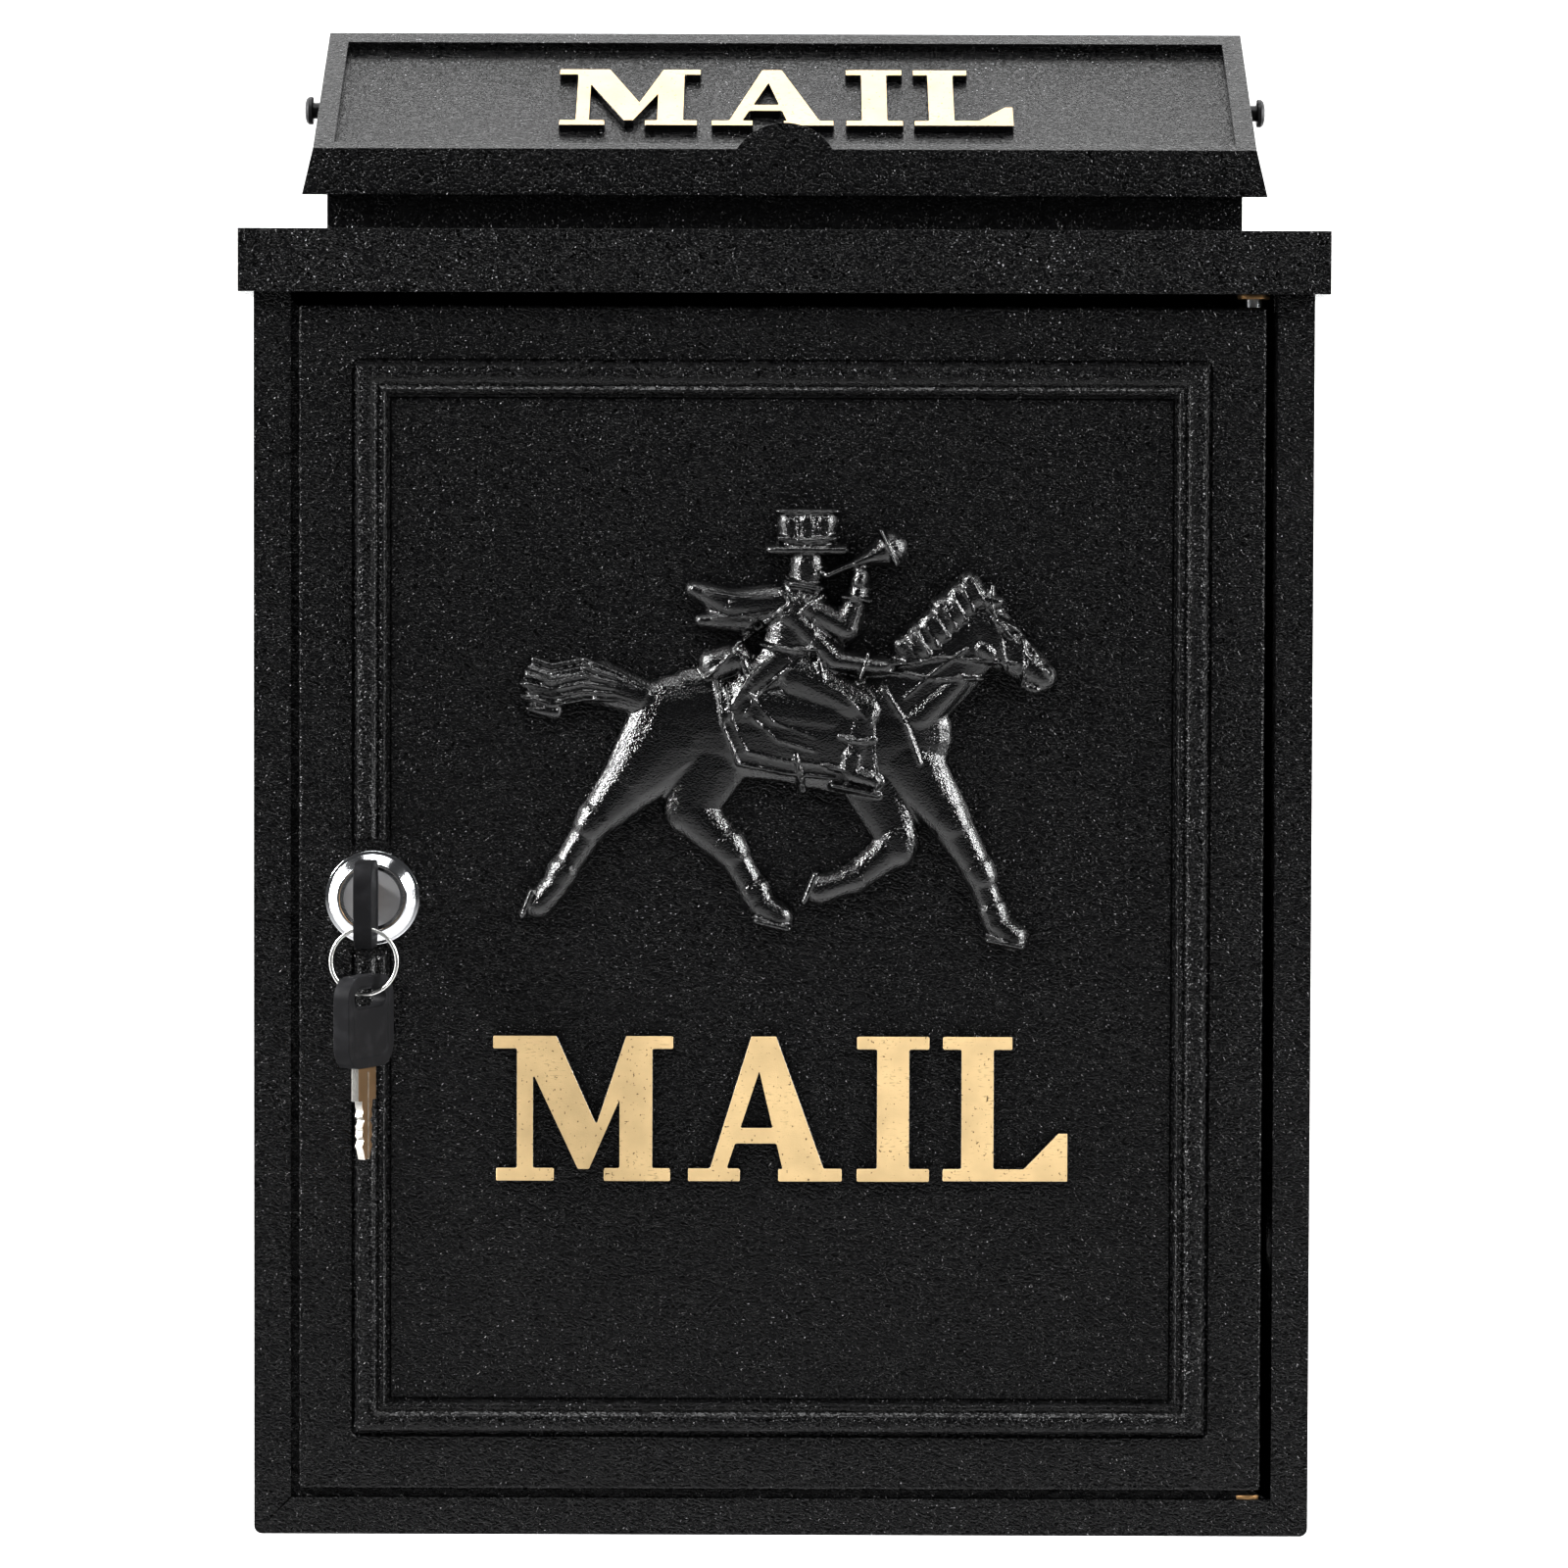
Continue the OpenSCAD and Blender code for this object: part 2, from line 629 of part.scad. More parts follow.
module door() color(black) difference() {
    union() {
        box(door_l, door_r, 0, door_depth, door_low, door_top);
        difference() {
            moulding(mould_w, mould_h / 2);
            on_door(lock_x, lock_up) cylinder(r = seat_r, h = far);
        }
        difference() {
            moulding(mould_w - 4, mould_h);
            on_door(lock_x, lock_up) cylinder(r = seat_r + 2, h = far);
        }
    }
    difference() {
        box(door_l + door_t, door_r - door_t, door_t, door_depth + over,
            door_low + door_t, door_top - door_t);
        for (z = [door_low, door_top - pin_l])
            box(door_r - pin_block, door_r, 0, door_depth, z, z + pin_l);
    }
    on_door(lock_x, lock_up) translate([0, 0, -door_t - over])
        cylinder(r = barrel_r, h = door_t + 2 * over);
    rod(hinge_x, hinge_back, door_low - over, door_low + pin_l, pin_r);
    rod(hinge_x, hinge_back, door_top - pin_l, door_top + over, pin_r);
}

module moulding(w, h) on_door(door_cx, door_mid) linear_extrude(h) difference() {
    edge = mould_in + (mould_w - w) / 2;
    square([door_r - door_l - 2 * edge, door_top - door_low - 2 * edge], center = true);
    square([door_r - door_l - 2 * (edge + w), door_top - door_low - 2 * (edge + w)], center = true);
}

module lower_hinge_pin() color(steel)
    rod(hinge_x, hinge_back, door_low - pin_out, door_low + pin_l, pin_r);

module upper_hinge_pin() color(steel)
    rod(hinge_x, hinge_back, door_top - pin_l, door_top + pin_out, pin_r);

// ---- lock

module lock_body() color(chrome) on_door(lock_x, lock_up) rotate_extrude() polygon([
    [plug_r + plug_play, -barrel_l],
    [barrel_r, -barrel_l],
    [barrel_r, 0],
    [bezel_r, 0],
    [bezel_r, 0.8],
    [mouth_r + 1.4, bezel_h],
    [mouth_r, bezel_h],
    [mouth_r, 1.8],
    [plug_r + plug_play, 1.8]
]);

module lock_washer() color(steel) on_door(lock_x, lock_up) translate([0, 0, -door_t - washer_t])
    difference() {
        cylinder(r = nut_af / 2, h = washer_t);
        translate([0, 0, -over]) cylinder(r = barrel_r, h = washer_t + 2 * over);
    }

module lock_nut() color(steel)
    on_door(lock_x, lock_up) translate([0, 0, -door_t - washer_t - lock_nut_t]) difference() {
        rotate([0, 0, 30]) hexagon(nut_af, lock_nut_t);
        translate([0, 0, -over]) cylinder(r = barrel_r, h = lock_nut_t + 2 * over);
    }

module wafer_row() for (i = [0:wafer_n - 1])
    translate([0, 0, face_up - wafer_first - i * wafer_step - wafer[2] / 2]) children();

module lock_plug() color(chrome) on_door(lock_x, lock_up) difference() {
    union() {
        translate([0, 0, -barrel_l]) cylinder(r = plug_r, h = face_up + barrel_l);
        translate([-tang / 2, -tang / 2, -cam_y - tang_l]) cube([tang, tang, cam_y + tang_l - barrel_l]);
    }
    translate([-blade_t / 2 - keyway_play / 2, -blade_w / 2 - keyway_play / 2,
            face_up - blade_l - keyway_play])
        cube([blade_t + keyway_play, blade_w + keyway_play, far]);
    wafer_row() cube([wafer[0] + wafer_play, far, wafer[2] + wafer_play], center = true);
    translate([0, 0, -cam_y - tang_l - over]) cylinder(r = cam_screw_r, h = over + cam_screw_l);
}

module lock_wafers() color(bronze) on_door(lock_x, lock_up) wafer_row() difference() {
    cube(wafer, center = true);
    cube([window[0], window[1], wafer[2] + over], center = true);
}

module lock_cam() color(steel) on_door(lock_x, lock_up) translate([0, 0, -cam_y - cam_t])
    difference() {
        union() {
            cylinder(r = cam_round_r, h = cam_t);
            translate([-cam_tip_w / 2, -cam_reach + 2, 0]) cube([cam_tip_w, cam_reach - 2, cam_t]);
            translate([-cam_tip_w / 2 + 2, -cam_reach, 0]) cube([cam_tip_w - 4, cam_reach, cam_t]);
            for (s = [-1, 1]) translate([s * (cam_tip_w / 2 - 2), -cam_reach + 2, 0])
                cylinder(r = 2, h = cam_t);
        }
        cube([tang + 2 * tang_play, tang + 2 * tang_play, 2 * cam_t + over], center = true);
    }

module cam_washer() color(steel) on_door(lock_x, lock_up)
    translate([0, 0, -cam_y - cam_t - washer_t]) difference() {
        cylinder(r = 6.5, h = washer_t);
        translate([0, 0, -over]) cylinder(r = cam_screw_r, h = washer_t + 2 * over);
    }

module cam_screw() color(steel) on_door(lock_x, lock_up) {
    back = -cam_y - cam_t - washer_t;
    translate([0, 0, back]) cylinder(r = cam_screw_r, h = washer_t + cam_t - tang_l + cam_screw_l);
    translate([0, 0, back - screw_head_t]) cylinder(r = screw_head_r, h = screw_head_t);
}

// ---- keys, with the start of the head at z = 0 and its end at z = head_l

// Stands a shape drawn in length and width on edge, so that its thickness is along x.
module on_edge(t) rotate([0, -90, 0]) linear_extrude(t, center = true) children();

module blade() {
    half = blade_w / 2;
    step = blade_l / (len(cuts) + 1);
    top = [for (i = [0:len(cuts) - 1]) each [
        [-shoulder_l - step * (i + 0.6), half],
        [-shoulder_l - step * (i + 1), half - cuts[i]]
    ]];
    low = [for (i = [len(top) - 1:-1:0]) [top[i][0], -top[i][1]]];
    on_edge(blade_t) polygon(concat(
        [[tang_in_head, shoulder_w / 2], [-shoulder_l, shoulder_w / 2], [-shoulder_l, half]],
        top,
        [[-shoulder_l - blade_l, 1], [-shoulder_l - blade_l, -1]],
        low,
        [[-shoulder_l, -half], [-shoulder_l, -shoulder_w / 2], [tang_in_head, -shoulder_w / 2]]
    ));
}

module head_outline(inset) hull() for (z = [head_corner, head_l - head_corner], s = [-1, 1])
    translate([z, s * (head_w / 2 - head_corner)]) circle(r = head_corner - inset, $fn = 40);

module slot_outline(grow) hull() for (s = [-1, 1])
    translate([slot_z, s * (slot_l - slot_w) / 2]) circle(r = slot_w / 2 + grow, $fn = 32);

module head() difference() {
    hull() {
        on_edge(head_t - 2 * chamfer) head_outline(0);
        on_edge(head_t) head_outline(chamfer);
    }
    on_edge(head_t + over) slot_outline(0);
    for (s = [-1, 1]) hull() {
        translate([s * (head_t / 2 - chamfer), 0, 0]) on_edge(0.01) slot_outline(0);
        translate([s * (head_t / 2 + 0.01), 0, 0]) on_edge(0.01) slot_outline(chamfer);
    }
    on_edge(blade_t) translate([-over, -shoulder_w / 2]) square([tang_in_head + over, shoulder_w]);
}

module key_place() on_door(lock_x, lock_up) translate([0, 0, head_z]) children();

module spare_place() at(lock_x, -ring_out, spare_z) rotate([0, 0, spare_turn]) children();

module key_blade() color(steel) key_place() blade();

module key_head() color(black) key_place() head();

module key_ring() color(chrome) on_door(lock_x, ring_z) translate([0, 0, ring_out])
    rotate_extrude() translate([ring_r, 0]) circle(r = wire_d / 2);

module spare_key_blade() color(steel) spare_place() blade();

module spare_key_head() color(black) spare_place() head();

body_with_lip();  // body_shell
rear_panel();
header_rail();
top_casting();
casting_screws();
lower_hinge_bush();
upper_hinge_bush();
door_stops();
lid_pivot_screw_left();
lid_pivot_screw_right();
lid_pivot_nuts();
lid_pivot_washers();
lid();
lid_letters();
door();
rider_relief();
door_letters();
lower_hinge_pin();
upper_hinge_pin();
lock_body();
lock_washer();
lock_nut();
lock_plug();
lock_wafers();
lock_cam();
cam_washer();
cam_screw();
key_blade();
key_head();
key_ring();
spare_key_blade();
spare_key_head();
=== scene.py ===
"""The visible pieces, finishes, light and camera of a wall mounted mailbox, round its CAD frame."""

import json
import math
from contextlib import contextmanager

import bmesh
import bpy
from bpy.props import FloatProperty, FloatVectorProperty, IntProperty, PointerProperty
from mathutils import Matrix, Vector


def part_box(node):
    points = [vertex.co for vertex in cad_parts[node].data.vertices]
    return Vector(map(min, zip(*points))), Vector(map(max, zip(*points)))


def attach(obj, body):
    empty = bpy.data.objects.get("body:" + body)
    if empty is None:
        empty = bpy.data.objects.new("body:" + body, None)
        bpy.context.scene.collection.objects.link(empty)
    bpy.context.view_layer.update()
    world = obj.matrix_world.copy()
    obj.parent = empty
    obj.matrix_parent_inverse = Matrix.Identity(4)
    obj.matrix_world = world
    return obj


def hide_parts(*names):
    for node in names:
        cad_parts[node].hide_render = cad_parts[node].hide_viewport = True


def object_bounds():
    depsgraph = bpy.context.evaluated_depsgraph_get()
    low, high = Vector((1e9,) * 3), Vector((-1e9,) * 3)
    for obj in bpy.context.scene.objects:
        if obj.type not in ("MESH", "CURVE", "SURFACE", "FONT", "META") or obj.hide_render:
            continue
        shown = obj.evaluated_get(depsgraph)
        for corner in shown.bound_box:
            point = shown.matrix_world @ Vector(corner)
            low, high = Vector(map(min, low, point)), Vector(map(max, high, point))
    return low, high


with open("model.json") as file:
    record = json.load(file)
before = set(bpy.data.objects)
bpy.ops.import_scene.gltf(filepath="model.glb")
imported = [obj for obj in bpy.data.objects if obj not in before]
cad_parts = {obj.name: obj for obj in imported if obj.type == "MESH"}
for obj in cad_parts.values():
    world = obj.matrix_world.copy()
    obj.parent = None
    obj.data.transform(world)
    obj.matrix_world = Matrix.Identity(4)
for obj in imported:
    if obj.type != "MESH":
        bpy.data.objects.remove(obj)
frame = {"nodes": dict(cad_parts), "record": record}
CAD_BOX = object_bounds()
RECORD = frame["record"]

bl_info = {
    "name": "Wall Mounted Mailbox",
    "version": (1, 0, 0),
    "blender": (4, 5, 0),
    "location": "View3D > Sidebar > Mailbox",
    "description": "Builds the visible pieces of a wall mounted mailbox round its CAD frame",
    "category": "Object",
}

MM = 0.001
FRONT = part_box("body_shell")[0].y            # the plane of the body's front flange
OUT = Vector((0, -1, 0))                     # out of the front of the box
UP = Vector((0, 0, 1))
RIGHT = Vector((1, 0, 0))
BODY_OF = {node: body for body, nodes in RECORD["behaviour"]["bodies"].items() for node in nodes}
SLOT_OF = {part["node"]: part["material_slot"] for part in RECORD["subparts"]}


def middle(node):
    """The middle of a CAD node's box."""
    low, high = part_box(node)
    return (low + high) / 2


LOCK = Vector((middle("lock_body").x, FRONT, middle("lock_body").z))


# ---- the sizes and colours that a user would change


class MailboxSizes(bpy.types.PropertyGroup):
    """Sizes of the details that the CAD frame leaves plain."""

    cast_edge: FloatProperty(
        name="Cast edge", description="Radius of the castings' edges",
        default=0.8 * MM, min=0, unit="LENGTH")
    sheet_edge: FloatProperty(
        name="Sheet edge", description="Radius of the sheet steel's edges",
        default=0.35 * MM, min=0, unit="LENGTH")
    letter_edge: FloatProperty(
        name="Capital edge", description="Radius of the capitals' edges",
        default=0.35 * MM, min=0, unit="LENGTH")
    metal_edge: FloatProperty(
        name="Hardware edge", description="Radius of the edges of turned and stamped hardware",
        default=0.15 * MM, min=0, unit="LENGTH")
    mitre_width: FloatProperty(
        name="Mitre", description="Width of the mitre joints in the flange's lower corners",
        default=0.3 * MM, min=0, unit="LENGTH")
    seat_radius: FloatProperty(
        name="Lock seat", description="Radius of the flat seat that breaks the moulding at the lock",
        default=13.0 * MM, min=0, unit="LENGTH")
    thread_pitch: FloatProperty(
        name="Thread pitch", description="Pitch of the thread on the lock's barrel",
        default=1 * MM, min=0.1 * MM, unit="LENGTH")
    relief_grain: FloatProperty(
        name="Relief grain", description="Size of the smallest detail kept in the rider",
        default=0.42 * MM, min=0.2 * MM, unit="LENGTH")
    wrinkle: FloatProperty(
        name="Wrinkle", description="Distance between the wrinkles of the hammered enamel",
        default=1.15 * MM, min=0.2 * MM, unit="LENGTH")
    turns: IntProperty(
        name="Steps", description="Steps round a turned piece", default=64, min=12)


class MailboxColours(bpy.types.PropertyGroup):
    """Colours of the finishes."""

    enamel: FloatVectorProperty(
        name="Enamel", description="Black hammered enamel", subtype="COLOR", size=4,
        default=(0.0022, 0.0022, 0.0024, 1), min=0, max=1)
    gold: FloatVectorProperty(
        name="Gold", description="Gold paint on the capitals", subtype="COLOR", size=4,
        default=(0.59, 0.44, 0.24, 1), min=0, max=1)
    chrome: FloatVectorProperty(
        name="Chrome", description="Chrome plate of the lock", subtype="COLOR", size=4,
        default=(0.78, 0.79, 0.81, 1), min=0, max=1)
    zinc: FloatVectorProperty(
        name="Zinc", description="Zinc plated steel", subtype="COLOR", size=4,
        default=(0.50, 0.51, 0.52, 1), min=0, max=1)
    nickel: FloatVectorProperty(
        name="Nickel", description="Nickel plate of the keys' blades", subtype="COLOR", size=4,
        default=(0.66, 0.64, 0.60, 1), min=0, max=1)
    bronze: FloatVectorProperty(
        name="Bronze", description="Oiled bronze of the bushes", subtype="COLOR", size=4,
        default=(0.40, 0.25, 0.12, 1), min=0, max=1)
    plastic: FloatVectorProperty(
        name="Plastic", description="Black plastic of the keys' heads", subtype="COLOR", size=4,
        default=(0.012, 0.012, 0.013, 1), min=0, max=1)
    floor: FloatVectorProperty(
        name="Floor", description="Floor and backdrop", subtype="COLOR", size=4,
        default=(0.88, 0.88, 0.88, 1), min=0, max=1)


def sizes():
    return bpy.context.scene.mailbox_sizes


def colours():
    return bpy.context.scene.mailbox_colours


# ---- shader trees


class Value:
    """A socket of a finish, so that shader maths reads as plain arithmetic."""

    def __init__(self, finish, socket):
        self.finish = finish
        self.socket = socket

    def __add__(self, other):
        return self.finish.maths("ADD", self, other)

    __radd__ = __add__

    def __sub__(self, other):
        return self.finish.maths("SUBTRACT", self, other)

    def __rsub__(self, other):
        return self.finish.maths("SUBTRACT", other, self)

    def __mul__(self, other):
        return self.finish.maths("MULTIPLY", self, other)

    __rmul__ = __mul__


class Finish:
    """A material and its shader, built node by node."""

    def __init__(self, name, **sockets):
        self.material = bpy.data.materials.new(name)
        self.material.use_nodes = True
        self.tree = self.material.node_tree
        self.shader = self.tree.nodes["Principled BSDF"]
        self.set(**sockets)

    def set(self, **sockets):
        for name, value in sockets.items():
            self.feed(self.shader.inputs[name.replace("_", " ")], value)

    def feed(self, socket, value):
        if isinstance(value, Value):
            self.tree.links.new(value.socket, socket)
        else:
            socket.default_value = value

    def node(self, kind, settings=None, inputs=None, output=0):
        """Any node: its settings first, then the values or links of its sockets."""
        made = self.tree.nodes.new(kind)
        for name, value in (settings or {}).items():
            setattr(made, name, value)
        for name, value in (inputs or {}).items():
            self.feed(made.inputs[name], value)
        return Value(self, made.outputs[output])

    def maths(self, operation, first, second):
        return self.node("ShaderNodeMath", {"operation": operation}, {0: first, 1: second})

    def clamped(self, value, low, high):
        """How far a value is from low to high, held between 0 and 1."""
        return self.node("ShaderNodeMapRange", {"clamp": True},
                         {"Value": value, "From Min": low, "From Max": high})

    def place(self, longer=(1, 1, 1), turn=(0, 0, 0)):
        """A point on the piece, for marks that are longer along the turned axes."""
        point = self.node("ShaderNodeTexCoord", output=3)
        return self.node("ShaderNodeMapping", {"vector_type": "TEXTURE"},
                         {"Vector": point, "Scale": longer, "Rotation": turn})

    def noise(self, point, size, detail=2.0, distortion=0.0):
        """Noise whose features are about size metres across."""
        return self.node("ShaderNodeTexNoise", {}, {
            "Vector": point, "Scale": 1 / size, "Detail": detail, "Distortion": distortion})

    def mix(self, factor, first, second):
        """Two colours mixed."""
        return self.node("ShaderNodeMix", {"data_type": "RGBA"},
                         {"Factor": factor, 6: first, 7: second}, output=2)

    def bump(self, height, distance):
        return self.node("ShaderNodeBump", {}, {"Height": height, "Distance": distance})


def shade(colour, factor):
    """A colour made darker or lighter."""
    return tuple(min(1, part * factor) for part in colour[:3]) + (1,)


def hammered_enamel():
    """Black stove enamel, dried in fine worm-like pits, with painted shade in the pits and painted glints
    as pale dots here and there.
    """
    base = tuple(colours().enamel)
    finish = Finish("hammered_enamel", Specular_IOR_Level=0.34, IOR=1.5)
    size = sizes().wrinkle
    slanting = finish.noise(finish.place((1.9, 1.2, 1), (0, 0.45, 0)), 0.60 * size, 1.0, 0.2)
    level = finish.noise(finish.place((1.6, 1.2, 1), (0, -0.15, 0)), 0.54 * size, 1.0, 0.2)
    flats = finish.clamped(slanting * 0.55 + level * 0.45, 0.42, 0.54)
    grain = finish.noise(finish.place(), 0.26 * size, 1.0)
    sparks = finish.clamped(grain, 0.66, 0.76)
    # painted glints: pale grey dots, in random patches, put into the colour as highlights
    painted_glint_patch = finish.clamped(finish.noise(finish.place(), 30 * MM, 2.0), 0.35, 0.70)
    painted_glint_dots = finish.clamped(finish.noise(finish.place(), 0.55 * MM, 0.0), 0.79, 0.83) * painted_glint_patch
    # painted shade: the colour goes nearly black in the low pits of the bump and lighter on the raised
    # flats
    ground = finish.mix(flats, shade(base, 0.05), shade(base, 1.5))
    painted_glint_grey = (0.32, 0.32, 0.33, 1)
    finish.set(
        Base_Color=finish.mix(painted_glint_dots, ground, painted_glint_grey),
        Roughness=0.12 - sparks * 0.04,
        Normal=finish.bump(flats * 0.8 + grain * 0.2 + sparks * 0.9, 0.15 * MM))
    return finish.material


def smooth_enamel():
    """The same enamel where it flowed out glossy over the relief."""
    base = tuple(colours().enamel)
    finish = Finish("smooth_enamel", Specular_IOR_Level=0.9, IOR=1.5)
    ripple = finish.noise(finish.place(), 0.60 * MM, 1.0)
    fine = finish.noise(finish.place(), 0.30 * MM, 1.0)
    finish.set(
        Base_Color=finish.mix(ripple, shade(base, 0.6), shade(base, 1.4)),
        Roughness=0.10 + fine * 0.06,
        Normal=finish.bump(ripple * 0.7 + fine * 0.4, 0.20 * MM))
    return finish.material


def gold_paint():
    """Pale gold paint wiped over the raised faces, rubbed and speckled here and there."""
    base = tuple(colours().gold)
    finish = Finish("gold_paint", Specular_IOR_Level=0.5)
    cloud = finish.noise(finish.place(), 9 * MM, 3.0)
    grain = finish.noise(finish.place(), 0.35 * MM, 2.0)
    streak = finish.noise(finish.place((3.5, 1, 0.8)), 0.5 * MM, 2.0)
    worn = finish.clamped(streak * 0.6 + cloud * 0.4, 0.60, 0.66)
    speck = finish.clamped(finish.noise(finish.place(), 0.8 * MM, 1.0), 0.70, 0.76)
    bright = finish.mix(finish.clamped(cloud, 0.3, 0.7), shade(base, 0.86), shade(base, 1.08))
    rubbed = (0.12, 0.075, 0.03, 1)
    finish.set(
        Base_Color=finish.mix(finish.maths("MAXIMUM", worn * 0.45, speck), bright, rubbed),
        Metallic=0.12 - worn * 0.1,
        Roughness=0.36 + grain * 0.16,
        Normal=finish.bump(grain * 0.6 + streak * 0.4, 0.05 * MM))
    return finish.material


def plated(name, colour, roughness, grain=0.06, along=(1, 1, 1), dull=0.12):
    """Plated metal with fine handling marks."""
    finish = Finish(name, Metallic=1.0)
    marks = finish.noise(finish.place(along), 0.30 * MM, 3.0)
    cloud = finish.noise(finish.place(), 5 * MM, 2.0)
    finish.set(
        Base_Color=finish.mix(cloud, shade(colour, 1 - dull), shade(colour, 1.05)),
        Roughness=roughness + grain * marks,
        Normal=finish.bump(marks, 0.012 * MM))
    return finish.material


def key_plastic():
    """Black moulded plastic with a fine spark-eroded grain."""
    base = tuple(colours().plastic)
    finish = Finish("key_plastic", Specular_IOR_Level=0.06)
    grain = finish.noise(finish.place(), 0.22 * MM, 2.0)
    rub = finish.clamped(finish.noise(finish.place(), 4 * MM, 3.0), 0.5, 0.7)
    finish.set(
        Base_Color=finish.mix(rub * 0.5, base, shade(base, 2.2)),
        Roughness=0.46 - rub * 0.08 + grain * 0.10,
        Normal=finish.bump(grain, 0.03 * MM))
    return finish.material


def black_oxide():
    """Blackened steel screws."""
    finish = Finish("black_oxide", Metallic=0.6)
    grain = finish.noise(finish.place(), 0.4 * MM, 2.0)
    finish.set(
        Base_Color=finish.mix(grain, (0.012, 0.012, 0.013, 1), (0.035, 0.035, 0.036, 1)),
        Roughness=0.32 + grain * 0.15,
        Normal=finish.bump(grain, 0.02 * MM))
    return finish.material


def pale_paper():
    """The floor and backdrop."""
    finish = Finish("studio_floor", Roughness=0.9, Specular_IOR_Level=0.1)
    tint = finish.noise(finish.place(), 0.6, 2.0)
    base = tuple(colours().floor)
    finish.set(Base_Color=finish.mix(tint, shade(base, 0.985), base))
    return finish.material


FINISHES = {
    "enamel": hammered_enamel,
    "smooth enamel": smooth_enamel,
    "gold": gold_paint,
    "chrome": lambda: plated("lock_chrome", tuple(colours().chrome), 0.09, 0.05),
    "satin chrome": lambda: plated("satin_chrome", (0.40, 0.40, 0.41, 1), 0.50, 0.14, dull=0.3),
    "zinc": lambda: plated("zinc_plate", tuple(colours().zinc), 0.32, 0.16),
    "ring nickel": lambda: plated("ring_nickel", (0.80, 0.79, 0.77, 1), 0.24, 0.08, dull=0.05),
    "worn brass": lambda: plated("worn_brass", (0.20, 0.135, 0.08, 1), 0.34, 0.14, dull=0.3),
    "brass": lambda: plated("wafer_brass", (0.62, 0.44, 0.18, 1), 0.30, 0.12),
    "bronze": lambda: plated("oiled_bronze", tuple(colours().bronze), 0.42, 0.18, dull=0.35),
    "key nickel": lambda: plated("key_nickel", tuple(colours().nickel), 0.20, 0.12, (1, 1, 4)),
    "key plastic": key_plastic,
    "black oxide": black_oxide,
    "paper": pale_paper,
}
made_finishes = {}


def finish_of(name):
    if name not in made_finishes:
        made_finishes[name] = FINISHES[name]()
    return made_finishes[name]


FINISH_OF_SLOT = {
    "sheet_enamel": "enamel", "cast_enamel": "enamel", "relief_enamel": "smooth enamel",
    "gold_letters": "gold", "plated_steel": "zinc", "black_screw": "black oxide",
    "sintered_bronze": "bronze", "lock_chrome": "chrome", "wafer_brass": "brass",
    "key_nickel": "key nickel", "key_plastic": "key plastic", "ring_nickel": "ring nickel",
}


# ---- the bench: picking up, shaping and finishing a piece


def only(obj):
    """Selects one object, and nothing else."""
    bpy.ops.object.select_all(action="DESELECT")
    obj.select_set(True)
    bpy.context.view_layer.objects.active = obj


def named(name):
    """Names the object that was just added, with its place put into its mesh."""
    obj = bpy.context.object
    obj.name = obj.data.name = name
    bpy.ops.object.transform_apply(location=True, rotation=True, scale=True)
    return obj


def block(name, low, high):
    """A box from its lowest to its highest corner, ready to be shaped."""
    low, high = Vector(low), Vector(high)
    bpy.ops.object.select_all(action="DESELECT")
    bpy.ops.mesh.primitive_cube_add(size=1, location=(low + high) / 2, scale=high - low)
    return named(name)


def rod(name, start, end, radius, steps=48):
    """A round bar from one point to another."""
    start, end = Vector(start), Vector(end)
    bpy.ops.object.select_all(action="DESELECT")
    turn = (end - start).to_track_quat("Z", "Y").to_euler()
    bpy.ops.mesh.primitive_cylinder_add(
        vertices=steps, radius=radius, depth=(end - start).length,
        location=(start + end) / 2, rotation=turn)
    return named(name)


@contextmanager
def editing(obj):
    """Edit mode on one object, with nothing selected at first."""
    only(obj)
    bpy.ops.object.mode_set(mode="EDIT")
    bpy.ops.mesh.select_mode(type="VERT")
    bpy.ops.mesh.select_all(action="DESELECT")
    yield
    bpy.ops.object.mode_set(mode="OBJECT")


def pick(obj, kind, test):
    """In edit mode, selects the vertices, edges or faces that pass a test."""
    bpy.ops.mesh.select_mode(type=kind)
    bpy.ops.mesh.select_all(action="DESELECT")
    mesh = bmesh.from_edit_mesh(obj.data)
    mesh.normal_update()
    for part in {"VERT": mesh.verts, "EDGE": mesh.edges, "FACE": mesh.faces}[kind]:
        if test(part):
            part.select_set(True)
    mesh.select_flush_mode()
    bmesh.update_edit_mesh(obj.data)


def pick_largest(obj, direction):
    """In edit mode, selects the largest face that looks in a direction."""
    mesh = bmesh.from_edit_mesh(obj.data)
    mesh.normal_update()
    best = max((face for face in mesh.faces if face.normal.dot(direction) > 0.99),
               key=lambda face: face.calc_area()).index
    pick(obj, "FACE", lambda face: face.index == best)


def joined_by(obj, other, operation="DIFFERENCE"):
    """Cuts one piece with another, or melts the other into it."""
    only(obj)
    tool = obj.modifiers.new("Cut", "BOOLEAN")
    tool.operation = operation
    tool.solver = "EXACT"
    tool.object = other
    bpy.ops.object.modifier_apply(modifier=tool.name)
    bpy.data.objects.remove(other, do_unlink=True)


def rounded(obj, width, segments=3, angle=35):
    """Rounds the edges that are sharper than an angle."""
    only(obj)
    tool = obj.modifiers.new("Edges", "BEVEL")
    tool.width = width
    tool.segments = segments
    tool.limit_method = "ANGLE"
    tool.angle_limit = math.radians(angle)
    tool.miter_outer = "MITER_ARC"
    bpy.ops.object.modifier_apply(modifier=tool.name)


def smoothed(obj, angle=30):
    """Smooth shading that keeps the flat faces flat."""
    only(obj)
    bpy.ops.object.shade_smooth_by_angle(angle=math.radians(angle))
    tool = obj.modifiers.new("Even", "WEIGHTED_NORMAL")
    tool.keep_sharp = True
    bpy.ops.object.modifier_apply(modifier=tool.name)


